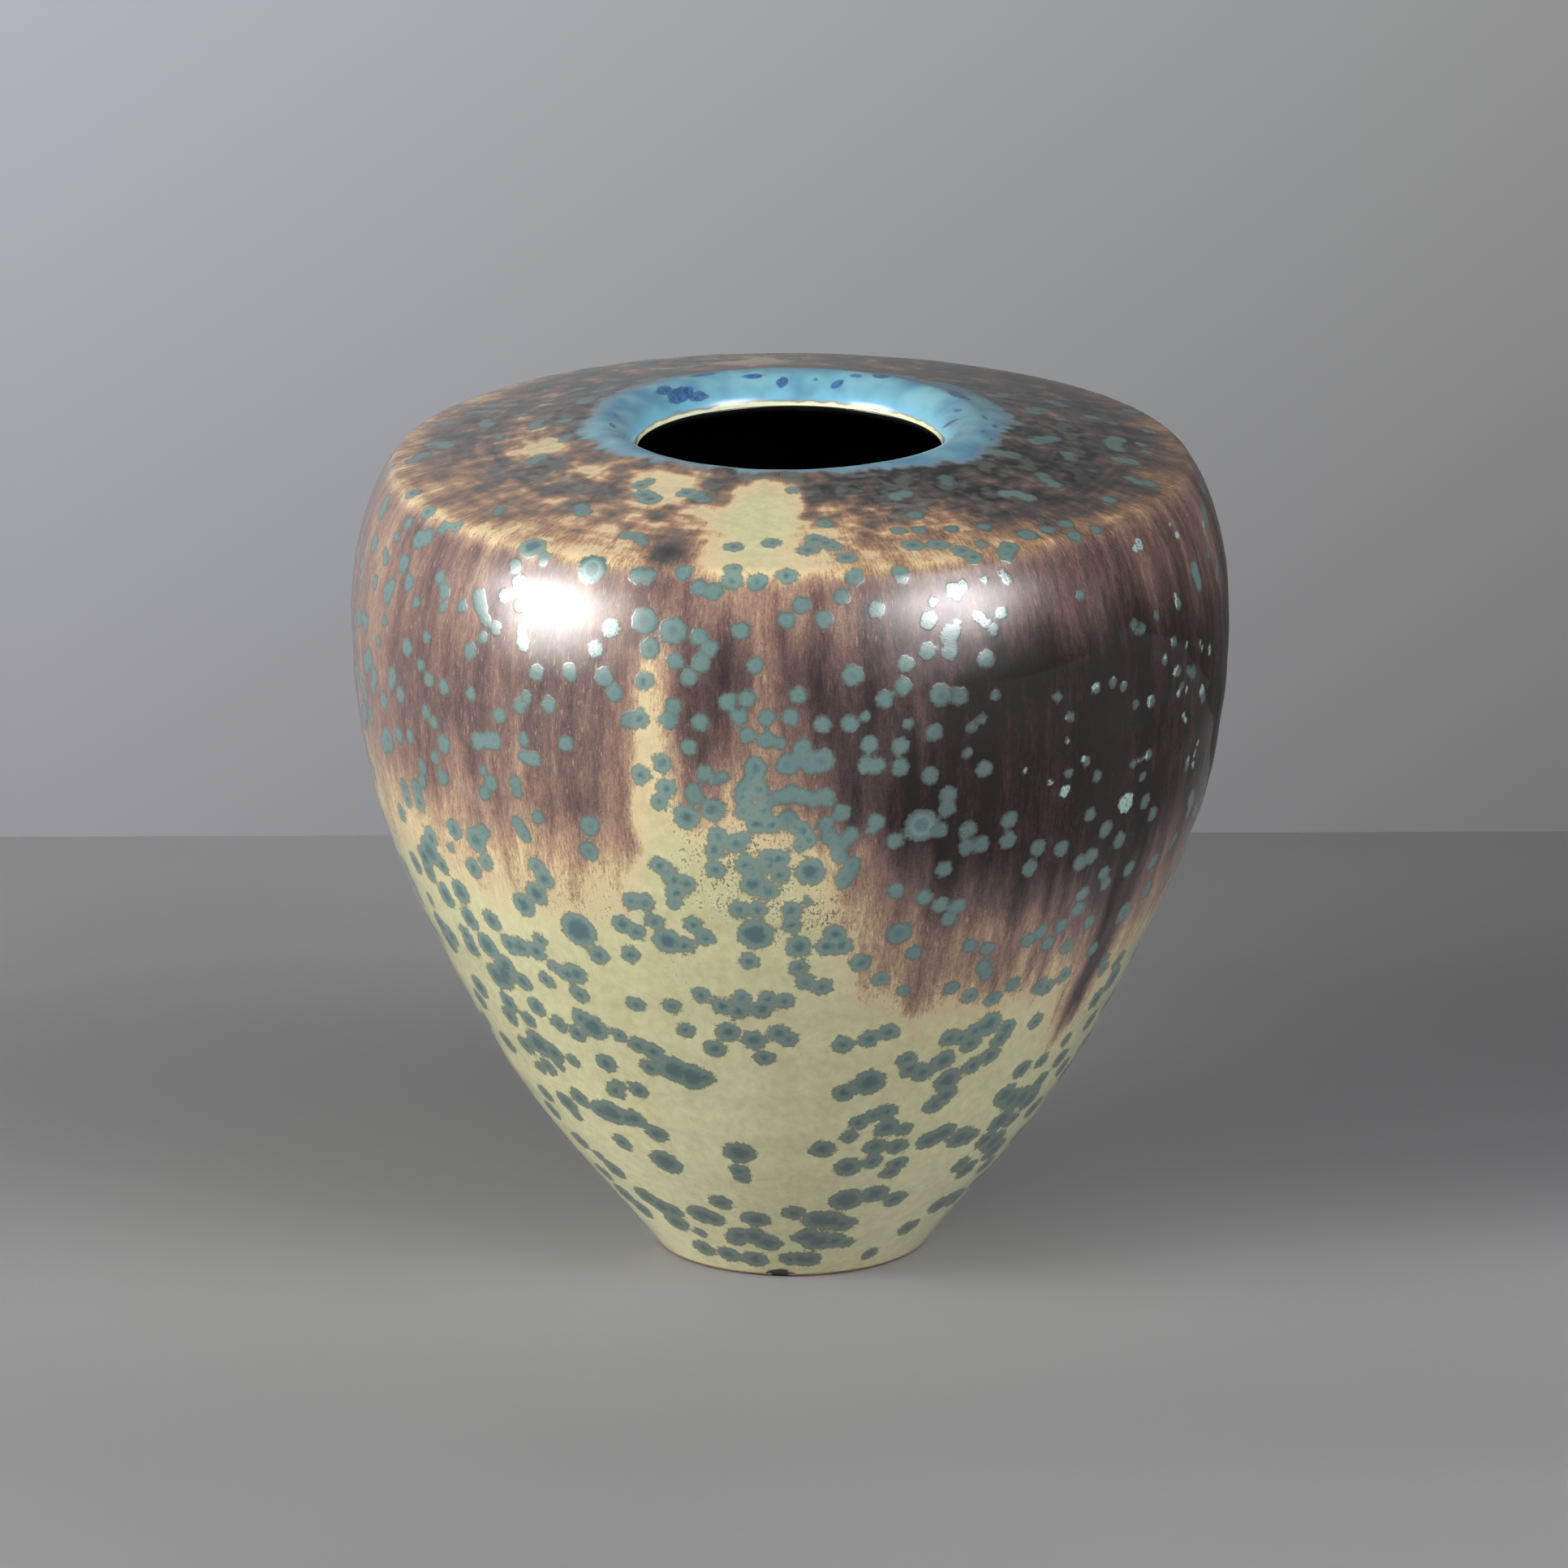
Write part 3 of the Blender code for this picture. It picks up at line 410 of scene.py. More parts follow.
    (-45.8, 155, 2.2), (-48.8, 151.5, 2.6), (-53, 155.5, 1.2), (-35, 173, 2), (-27.5, 166, 2.8), (-27, 173.5, 3),
    (-36.3, 158, 2.3), (-35.3, 154.5, 2.7), (-37.2, 149, 3.2), (-40.3, 144, 3.4), (-31.3, 139.5, 5),
    (-28.9, 132, 2.7), (-67.2, 142.5, 3), (-59.2, 137, 3.4), (-54.2, 141, 3.4), (-54.3, 132.2, 3.2),
    (-48.3, 135, 2.9), (-46, 128, 2.8), (-43.7, 128.5, 3), (-40.5, 128.5, 2.8), (-39, 133, 2), (-57.5, 125, 2.6),
    (-57.5, 121, 3), (-52, 124.5, 3.8), (-49, 119.5, 3), (-50.5, 116, 3.6), (-53.5, 113, 3.8), (-51.5, 113, 3),
    (-46.5, 115, 2.8), (-40.5, 118.5, 2.4), (-37.8, 124.2, 1.6), (-35.5, 123, 2.8), (-33.7, 123.6, 2.8),
    (-34.5, 116, 2.6), (-67, 123, 3.4), (-64, 121, 2.8), (-67, 117, 3.2), (-62.5, 104.5, 3.2), (-67, 131, 1.6),
    (-24, 144, 2.6), (-23.5, 134, 2.4), (-22, 152, 2.2),
    # lower left
    (-53.5, 104, 3), (-49.5, 100, 2.6), (-55.5, 98, 2.8), (-45.5, 106.5, 2.8), (-41.5, 102.5, 2.5),
    (-38, 100.5, 2.6), (-34, 104.5, 4.2), (-36, 107, 2.5), (-29.2, 103, 2), (-26, 100.5, 2.6), (-23.5, 99, 2.8),
    (-25, 92.5, 2.6), (-20.5, 93, 4.3), (-17.5, 91, 4.3), (-15, 91, 2.5), (-12.5, 102.5, 2.7), (-34, 91, 2.9),
    (-42, 88.5, 1.9), (-50, 91, 4.2), (-46.5, 89.5, 3.2), (-55, 88, 2.8), (-47, 84.5, 1.5), (-51, 82, 2.6),
    (-54.5, 80, 1.9), (-34.5, 80, 2.6), (-33, 83, 1.8), (-29, 82.5, 2.7), (-45.5, 73, 2.9), (-41, 70, 3),
    (-38, 70.5, 4.3), (-34.5, 69.5, 2.6), (-32.5, 70, 3.2), (-51, 68.5, 3.4), (-50.5, 64, 1.8), (-28.5, 65, 3),
    (-39.5, 57.5, 2.6), (-29.5, 52.5, 4.5), (-11, 61, 4.1), (-11.8, 53, 2.4), (-11.5, 49.5, 2), (-50.5, 41, 3.2),
    (-53, 46, 1.8), (-19, 36, 3), (-27, 28, 3.8), (-23.5, 27, 3), (-10, 29, 3.4), (-11.5, 29, 2.6),
    (-45, 31, 3.6), (-41, 28, 3.6), (-37, 27, 3), (-39, 21, 3.5), (-58, 27, 3.6), (-54, 22, 3.2),
    (-31.5, 18, 1.6), (-17, 20, 3), (-12, 20, 3.6), (-8, 17, 3.5), (-19, 17, 2.3), (-59, 68, 2.6), (-58, 50, 3),
    (-17, 108.5, 2.2), (-10, 109, 3), (-6, 106.5, 3), (-4.5, 100, 2.5), (-64, 84, 3), (-66, 98, 2.6),
    (-62, 60, 2.8), (-60, 36, 2.6), (-8, 117, 2.6), (-10.5, 118.5, 2.6), (-4.5, 118, 2.8),
    # lower right
    (8.2, 104.5, 2.6), (12.5, 106, 2.6), (15.5, 108, 2.6), (26.5, 103, 2.6), (28.5, 102.5, 2.2), (31, 99.5, 2.7),
    (33.5, 105.5, 3.6), (31, 104, 2.5), (37.5, 102.5, 2.6), (37, 99, 2.6), (36, 93, 2.8), (33, 90.5, 2.7),
    (44, 102, 2.2), (19.5, 97, 2.4), (20.5, 93, 2.6), (23, 91, 2.8), (26.5, 94.5, 3.2), (28.5, 86.5, 3.6),
    (29.5, 80.5, 2.8), (27.5, 77, 2.8), (13.5, 89.5, 4.2), (9.2, 86, 2.9), (12.8, 73.5, 2.3), (15.5, 76, 2.3),
    (18, 77, 2.5), (18.7, 70.5, 3.2), (22.5, 69, 2.2), (11.3, 68, 2.1), (17.3, 62.5, 3), (22.5, 61.5, 2.8),
    (17.5, 56, 2.5), (6.2, 63, 3.1), (12.2, 54.5, 3.5), (23.8, 53.5, 2.7), (22.8, 50, 2.6), (29.5, 62, 3.4),
    (32.5, 64, 3.4), (38, 60, 3.8), (41, 59, 2.6), (46.5, 83, 2.8), (51.8, 83.5, 2.2), (57.5, 88, 1.9),
    (60, 80, 3), (45, 74, 3.4), (48, 71, 3.6), (52, 70, 3.6), (56, 67, 3.6), (56, 74, 2.6), (49, 62, 4),
    (47.5, 55, 3.2), (52, 52, 4), (56, 47, 4), (54, 60, 2.2), (44, 46, 2.6), (48.5, 42, 3.2), (14, 38.5, 4.6),
    (21, 40, 3.6), (27.8, 36, 3.1), (0.5, 33, 2.8), (7.5, 29, 4.2), (11, 28, 3.8), (14.5, 26, 3),
    (17, 26.5, 1.8), (5, 20.5, 3.4), (8.5, 18, 4), (3, 20, 2.4), (13.5, 17.5, 3), (18, 16, 2), (40.8, 18, 2.8),
    (49, 26, 3.6), (54, 27, 3), (58, 25, 3), (59, 39, 3), (63, 60, 3.4), (66, 90, 2.8), (70, 70, 3),
    (62, 100, 3), (64, 112, 2.8), (-2, 109, 2.8), (-0.5, 107, 2.2), (68, 48, 3), (3, 9, 3), (6, 8.5, 3),
    (-1, 9, 2.6), (-14, 8, 3.2), (-24, 9, 3), (-34, 10, 3), (30, 8, 2),
    # flecks in the dark side, and the group under the right-hand light, whose pale kind 2 colour is a painted highlight
    (19.5, 237, 1.2, 2), (21, 227, 2.2), (22.5, 239.5, 1.9, 2), (24, 240, 1.7, 2), (23, 237.5, 1.1, 2), (27.5, 241, 1, 2),
    (30.5, 242, 1, 2), (31, 240, 1.2, 2), (29, 231.5, 1.6, 2), (25.5, 231.5, 1.7, 2), (26.5, 229.5, 1.3, 2), (27.5, 227.5, 1.6),
    (18.5, 232.5, 1.1), (22.5, 230.5, 1, 2), (56.5, 240.5, 1, 2), (55, 239, 0.9, 2), (56.5, 239, 0.7, 2), (66.5, 237, 1, 2),
    (77.5, 234, 0.8, 2), (76.5, 232, 0.8, 2), (66, 240.5, 0.7, 2), (61.5, 222.5, 0.8, 2), (61.5, 220.5, 0.9, 2), (42, 232, 0.9),
    (51, 220, 0.9), (51.5, 217.5, 0.7), (59, 211.5, 0.7, 2), (63, 208, 0.7, 2), (67.5, 206, 0.7, 2), (68, 204, 0.7, 2),
    (71, 203, 0.8, 2), (71, 201.5, 0.8, 2), (57, 207.5, 0.7, 2), (60, 203, 0.8, 2), (59.5, 202, 0.7, 2), (42.5, 206, 0.7, 2),
    (43, 206.5, 0.8, 2), (46, 207, 0.7, 2), (48, 204.5, 0.7, 2), (53.5, 198, 0.7, 2), (53.5, 197, 0.7, 2), (50.5, 198, 0.7, 2),
    (63, 195.5, 0.7, 2), (62.5, 188.5, 0.7, 2), (63, 186.5, 0.7, 2), (38, 200, 0.7, 2), (36, 206.5, 0.7), (38, 193.5, 0.7, 2),
    (23, 195, 0.7, 2), (41, 187, 0.7, 2), (43.5, 181, 0.7, 2), (53.5, 182, 0.8, 2), (52, 181.5, 0.7, 2), (35.5, 182.5, 0.7, 2),
    (31.5, 187.5, 0.7, 2), (68.5, 177, 0.8, 2), (68, 171, 0.8, 2), (68, 174, 0.7, 2),
    (-8.6, 191.2, 1.8), (-10.0, 190.2, 1.5), (-12.3, 187.4, 1.8), (-12.2, 184.9, 1.7), (-6.2, 185.4, 1.9), (-2.9, 184.7, 1.9), (0.1, 187.3, 2.2),
    (-0.4, 185.8, 1.7), (2.1, 196.2, 2.7), (1.0, 197.8, 2.0), (2.6, 193.9, 1.9), (-1.4, 200.9, 1.7), (0.5, 177.6, 1.9), (2.3, 173.5, 1.9),
    (1.2, 171.8, 1.7), (7.7, 174.6, 2.1), (6.4, 168.4, 1.9), (7.6, 163.5, 2.0), (10.5, 175.7, 1.7), (-6.0, 173.9, 1.4), (-4.9, 164.6, 1.7),
    (-2.7, 165.7, 1.8), (-16.4, 162.0, 1.8), (-15.8, 153.2, 1.7), (2.3, 154.9, 0.9), (-5.1, 191.0, 1.7), (4.9, 183.9, 1.2),
    # pale crystals at the edge of the left-hand light: their pale colour is a painted highlight
    (-24, 229, 2.4, 2), (-26, 223, 2.1, 2), (-41.5, 232.5, 1.8, 2), (-37, 221, 2.0, 2), (-37.5, 224.8, 1.8, 2), (-39.5, 237, 2.2, 2), (-38.5, 231, 2.0, 2),

]


def scatter(existing):
    """Fills the rest of the vase with crystals in loose chains and clumps, thinning over the dark areas."""
    r = np.random.default_rng(77)
    pts = [tuple(p) + (0,) * (4 - len(p)) for p in existing]
    arr = [(math.radians(p[0]), p[1], p[2]) for p in pts]

    def radius_at(s):
        return float(np.interp(s, S, P[:, 0]))

    def clear(th, s, rad, gap, own):
        rr = radius_at(s)
        for k, (t2, s2, r2) in enumerate(arr):
            if abs(s - s2) > 10:
                continue
            du = ((th - t2 + math.pi) % (2 * math.pi) - math.pi) * rr
            d = math.hypot(du, s - s2)
            if d < (0.62 * (rad + r2) if k in own else rad + r2 + gap):
                return False
        return True

    def field(f, th, s):
        j = int(round((th + math.pi) / (2 * math.pi) * NSEG)) % NSEG
        i = int(np.searchsorted(ROWS, s))
        return float(f[min(i, len(ROWS) - 1), j])

    made, tries = 0, 0
    while tries < 9000 and made < 1100:
        tries += 1
        s = r.uniform(5, 297)
        th = r.uniform(-math.pi, math.pi)
        if r.uniform() > radius_at(s) / 120.0:
            continue
        side = abs(math.degrees(th))
        if side < 60 and s < 250:
            continue
        if side < 78 and s < 250 and r.uniform() > 0.4:
            continue
        if side < 80 and s >= 250 and r.uniform() > 0.35:
            continue
        depth = field(iron, th, s)
        keep = 1.0 - 0.5 * float(step01(np.array(depth), 3.4, 4.4))
        if s > 252:
            keep *= 0.7
        if r.uniform() > keep:
            continue
        in_dark = depth > 3.9 and s < 245
        own = []
        if in_dark:
            size = float(np.clip(r.normal(1.3, 0.4), 0.8, 2.6))
        elif depth < 0.8:
            size = float(np.clip(r.normal(2.8, 0.55), 1.5, 4.6))
        else:
            size = float(np.clip(r.normal(2.2, 0.35), 1.2, 3.6))
        kind = 1 if (size > 3.0 and depth > 1 and r.uniform() < 0.5) else (2 if in_dark and r.uniform() < 0.5 else 0)
        chain = 1 + int(r.uniform() < 0.55) + int(r.uniform() < 0.4) + int(r.uniform() < 0.25)
        heading = r.uniform(0, 2 * math.pi)
        for _ in range(chain):
            if not (4 < s < 298) or not clear(th, s, size, 0.9, own):
                break
            arr.append((th, s, size))
            own.append(len(arr) - 1)
            pts.append((math.degrees(th), s, size, kind))
            made += 1
            nxt = float(np.clip(size * r.uniform(0.7, 1.15), 0.8, 4.2))
            heading += r.normal(0, 0.7)
            gap = (size + nxt) * r.uniform(0.66, 0.82)
            th += math.cos(heading) * gap / radius_at(s)
            th = (th + math.pi) % (2 * math.pi) - math.pi
            s += math.sin(heading) * gap
            size, kind = nxt, 0
    return pts


CRYSTALS = scatter(PLACED)
K = 0.40                                       # how softly neighbouring crystals run together, mm
acc = np.zeros(SHAPE)
near = np.full(SHAPE, 9.0)
cvec = np.zeros(SHAPE + (3,))
cvec[..., 0] = 9.0
for deg, s, rad, kind in CRYSTALS:
    reach = rad + 5.0
    i0, i1 = np.searchsorted(ROWS, [s - reach, s + reach])
    rr = float(np.interp(s, S, P[:, 0]))
    half = int(math.ceil(reach / rr / (2 * math.pi) * NSEG)) + 1
    j = int(round((math.radians(deg) + math.pi) / (2 * math.pi) * NSEG))
    cols = np.arange(j - half, j + half + 1) % NSEG
    win = np.ix_(np.arange(i0, i1), cols)
    du = turn(TH[win], math.radians(deg)) * RAD[win]
    dv = SS[win] - s
    d = np.hypot(du, dv)
    acc[win] += np.exp(-np.clip(d - rad, -8, 8) / K)
    m = d - 0.35 * rad
    closer = m < near[win]
    near[win] = np.where(closer, m, near[win])
    v = cvec[win]
    v[closer] = np.stack([du / rad, dv / rad, np.full(du.shape, float(kind))], -1)[closer]
    cvec[win] = v
crystal = np.clip(-K * np.log(np.maximum(acc, 1e-6)), -4, 5)

# ------------------------------------------------------------------ fine surface
def offset_point(s, out):
    """(radius, height) of the contour at s, moved out along its normal."""
    s = np.asarray(s, float)
    r = np.interp(s, S, P[:, 0]) + out * np.interp(s, S, NRM[:, 0])
    z = np.interp(s, S, P[:, 1]) + out * np.interp(s, S, NRM[:, 1])
    return r, z


fade = step01(SS, 0, 25) * step01(SS, S_END, S_END - 12)
wobble = (0.16 * np.sin(2 * TH + 0.7) + 0.10 * np.sin(3 * TH - 1.2 + SS / 60) + 0.05 * np.sin(5 * TH + SS / 25)
          + 0.07 * np.sin(SS / 2.6 + 0.8 * np.sin(TH)) * step01(SS, 236, 200) * step01(SS, 20, 60)
          + 0.10 * waves(71, 50, 24, 26, 0.5)) * fade
relief = 0.07 * step01(crystal, 0.5, -0.9) + 0.05 * step01(iron, 0.2, 2.0) + 0.08 * step01(blue, -0.8, 0.8) + 0.05 * cobalt - 0.08 * step01(chip, 0.3, 0.6)
lift = wobble + relief * np.where(chip > 0.05, 1.0, fade)
Rg, Zg = offset_point(SS, lift)
GRID = np.stack([Rg * np.sin(TH), -Rg * np.cos(TH), Zg], -1)
d_row = np.gradient(GRID, axis=0)
d_col = (np.roll(GRID, -1, 1) - np.roll(GRID, 1, 1)) / 2
GNRM = np.cross(d_col, d_row)
GNRM /= np.linalg.norm(GNRM, axis=2)[..., None]
if (GNRM * np.stack([np.sin(TH), -np.cos(TH), 0 * TH], -1)).sum(-1)[20].mean() < 0:
    GNRM = -GNRM
CYL = np.stack([100 * np.sin(TH), -100 * np.cos(TH), SS], -1)

FIELDS = {
    "g_iron": iron, "g_top": top, "g_speck": speck, "g_tone": tone, "g_streak": streaky, "g_blue": blue,
    "g_cobalt": cobalt, "g_lip": lip, "g_crystal": crystal, "g_chip": chip, "g_blush": blush,
}


def mesh_from(name, co, faces, normals):
    mesh = bpy.data.meshes.new(name)
    mesh.vertices.add(len(co))
    mesh.vertices.foreach_set("co", (co * MM).astype(np.float32).ravel())
    mesh.loops.add(faces.size)
    mesh.loops.foreach_set("vertex_index", faces.astype(np.int32).ravel())
    mesh.polygons.add(len(faces))
    mesh.polygons.foreach_set("loop_start", np.arange(0, faces.size, 4, dtype=np.int32))
    mesh.update(calc_edges=True)
    mesh.shade_smooth()
    mesh.normals_split_custom_set_from_vertices(normals.astype(np.float32))
    mesh.update()
    return mesh


def quads(a, b, seg):
    """Quads between two rings of vertices, given their first indices."""
    j = np.arange(seg)
    k = (j + 1) % seg
    return np.stack([a + j, a + k, b + k, b + j], 1)


def glaze_shell(name, first, last, thick, inner_rows, node, slot):
    """Closed shell: grid rows first to last outside, a coarser offset inside, ends leaning in under the surface."""
    outer = GRID[first:last + 1].reshape(-1, 3)
    n_out = last - first + 1
    s_in = np.linspace(ROWS[last] - 0.6, ROWS[first] + 0.6, inner_rows)
    ri, zi = offset_point(s_in, -thick)
    inner = np.stack([
        ri[:, None] * np.sin(ANG)[None], -ri[:, None] * np.cos(ANG)[None], np.repeat(zi[:, None], NSEG, 1),
    ], -1).reshape(-1, 3)
    co = np.vstack([outer, inner])
    total = n_out + inner_rows
    faces = np.vstack([quads(i * NSEG, ((i + 1) % total) * NSEG, NSEG) for i in range(total)])
    nr, nz = np.interp(s_in, S, NRM[:, 0]), np.interp(s_in, S, NRM[:, 1])
    back = -np.stack([
        nr[:, None] * np.sin(ANG)[None], -nr[:, None] * np.cos(ANG)[None], np.repeat(nz[:, None], NSEG, 1),
    ], -1).reshape(-1, 3)
    normals = np.vstack([GNRM[first:last + 1].reshape(-1, 3), back])
    mesh = mesh_from(name, co, faces, normals)
    inner_s = np.repeat(s_in, NSEG)
    pad = len(inner)
    for key, field in FIELDS.items():
        at = mesh.attributes.new(key, "FLOAT", "POINT")
        at.data.foreach_set("value", np.r_[field[first:last + 1].ravel(), np.zeros(pad)].astype(np.float32))
    ring_th = np.tile(ANG, inner_rows)
    cyl = np.vstack([CYL[first:last + 1].reshape(-1, 3),
                     np.stack([100 * np.sin(ring_th), -100 * np.cos(ring_th), inner_s], 1)])
    vec = np.vstack([cvec[first:last + 1].reshape(-1, 3), np.full((pad, 3), 9.0)])
    for key, val in (("g_cyl", cyl), ("g_cvec", vec)):
        at = mesh.attributes.new(key, "FLOAT_VECTOR", "POINT")
        at.data.foreach_set("vector", val.astype(np.float32).ravel())
    return place(name, mesh, node, slot)


def place(name, mesh, node, slot):
    obj = bpy.data.objects.new(name, mesh)
    bpy.context.scene.collection.objects.link(obj)
    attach(obj, "root")
    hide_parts(node)
    return obj


def turned_mesh(name, section, seg, sharp=None):
    """Closed body turned about the axis from an open section whose ends lie on the axis."""
    section = np.array(section, float)
    ang = 2 * math.pi * np.arange(seg) / seg
    ring = section[1:-1]
    co = np.stack([
        ring[:, 0][:, None] * np.sin(ang), -ring[:, 0][:, None] * np.cos(ang), np.repeat(ring[:, 1][:, None], seg, 1),
    ], -1).reshape(-1, 3)
    co = np.vstack([co, [(0, 0, section[0, 1]), (0, 0, section[-1, 1])]])
    faces = []
    for i in range(len(ring) - 1):
        faces += quads(i * seg, (i + 1) * seg, seg).tolist()
    a, b = len(co) - 2, len(co) - 1
    top = (len(ring) - 1) * seg
    for j in range(seg):
        k = (j + 1) % seg
        faces.append((a, k, j))
        faces.append((b, top + j, top + k))
    mesh = bpy.data.meshes.new(name)
    mesh.from_pydata((co * MM).tolist(), [], faces)
    mesh.update()
    mesh.shade_smooth()
    if sharp:
        mesh.set_sharp_from_angle(angle=math.radians(sharp))
    th = np.r_[np.tile(ang, len(ring)), 0, 0]
    run_len = np.r_[0, np.cumsum(np.linalg.norm(np.diff(section, axis=0), axis=1))]
    ss = np.r_[np.repeat(run_len[1:-1], seg), run_len[0], run_len[-1]]
    at = mesh.attributes.new("g_cyl", "FLOAT_VECTOR", "POINT")
    at.data.foreach_set("vector", np.stack([100 * np.sin(th), -100 * np.cos(th), ss], 1).astype(np.float32).ravel())
    return mesh


def flip_if_inside_out(mesh):
    import bmesh
    bm = bmesh.new()
    bm.from_mesh(mesh)
    if bm.calc_volume(signed=True) < 0:
        bmesh.ops.reverse_faces(bm, faces=bm.faces)
    bm.to_mesh(mesh)
    bm.free()


R0, R1, R2, R3, R4, R5 = BREAK_ROW
PIECES = {
    "base_glaze": glaze_shell("vase_cream_glaze", R0, R1, 1.1, 14, "base_glaze", "cream_crystal_glaze"),
    "brown_wall": glaze_shell("vase_brown_glaze_wall", R1, R2, 1.1, 14, "brown_overglaze", "iron_brown_glaze"),
    "brown_top": glaze_shell("vase_brown_glaze_top", R2, R3, 1.1, 8, "brown_overglaze", "iron_brown_glaze"),
    "collar": glaze_shell("vase_blue_collar", R3, R4, 1.0, 8, "collar_glaze", "blue_glaze"),
    "lip": glaze_shell("vase_lip_band", R4, R5, 0.7, 4, "lip_glaze", "pale_glaze"),
}

# ---- dark liner: from the nose of the lip, under the rim, down the inside to the middle of the floor
def inside_line(depth):
    """Inside contour from the lip's end to the axis, moved down into the clay by depth."""
    c = np.array([LIP_R + NOSE, LIP_Z])
    end_r, end_z = offset_point(S_END, 0)
    a0 = math.atan2(float(end_z) - c[1], float(end_r) - c[0]) % (2 * math.pi)
    arc = [c + (NOSE - depth) * np.array([math.cos(a), math.sin(a)]) for a in np.linspace(a0, math.radians(294), 9)]
    down = np.arange(S_BLUE - 1.0, 24, -4.0)
    r, z = offset_point(down, -(WALL + 0) + depth)
    body = [np.array(p) for p in zip(r, z) if p[1] > 26]
    floor = catmull([tuple(body[-1]), (45.0, 19.0 - depth), (33.0, 11.9 - depth), (20.0, 10.2 - depth), (0.0, 10.0 - depth)], 24)
    return arc + body[:-1] + [np.array(p) for p in floor]


upper = inside_line(0.0)
lower = inside_line(0.8)
n_th = 200
section = [(0.0, lower[-1][1])] + [tuple(p) for p in lower[-2::-1]] + [tuple(p) for p in upper[:-1]] + [(0.0, upper[-1][1])]
liner_mesh = turned_mesh("vase_dark_liner", section, n_th)
flip_if_inside_out(liner_mesh)
PIECES["liner"] = place("vase_dark_liner", liner_mesh, "liner_glaze", "dark_glaze")

# ---- clay: foot ring with softened arrises and a turned recess, then the body hidden under the coats
foot_r, foot_z = offset_point(S_FOOT, -0.05)
foot_r, foot_z = float(foot_r), float(foot_z)
clay_section = [(0.0, 4.2)]
for r in np.arange(2.0, 25.5, 0.75):
    clay_section.append((r, 4.15 + 0.10 * math.sin(r * 2.1) + 0.35 * (r / 26) ** 2 - 0.35))
clay_section += [(26.4, 3.7), (27.2, 2.9), (27.7, 1.6), (28.1, 0.6), (28.6, 0.15), (29.4, 0.0)]
clay_section += [(r, 0.0 + 0.02 * math.sin(r * 3)) for r in np.arange(30.2, foot_r - 1.6, 0.7)]
clay_section += [(foot_r - 1.3, 0.02), (foot_r - 0.75, 0.16), (foot_r - 0.35, 0.45), (foot_r - 0.05, 0.85), (foot_r + 0.05, foot_z + 0.1)]
hidden = np.arange(3.5, S_BLUE, 5.0)
r, z = offset_point(hidden, -1.5)
clay_section += list(zip(r, z))
for s in np.linspace(S_BLUE, S_LIP - 1.0, 8):
    r, z = offset_point(s, -1.3)
    clay_section.append((float(r), float(z)))
core = inside_line(1.1)
clay_section += [tuple(p) for p in core[2:-1]] + [(0.0, core[-1][1])]
clay_mesh = turned_mesh("vase_clay_body", clay_section, 240, 40)
flip_if_inside_out(clay_mesh)
PIECES["clay"] = place("vase_clay_body", clay_mesh, "clay_body", "clay")

# ------------------------------------------------------------------ materials
def lin(r, g, b, k=1.0):
    """sRGB 0-255 to linear RGBA, scaled by k."""
    out = []
    for c in (r, g, b):
        c /= 255.0
        c = c / 12.92 if c <= 0.04045 else ((c + 0.055) / 1.055) ** 2.4
        out.append(min(0.92, c * k))
    return (*out, 1.0)


LIT = 1.45       # a surface facing the camera returns 1/LIT of its own colour under this light


def tint(r, g, b):
    """Own colour of something that reads as this sRGB colour at the front of the vase."""
    return lin(r, g, b, LIT)


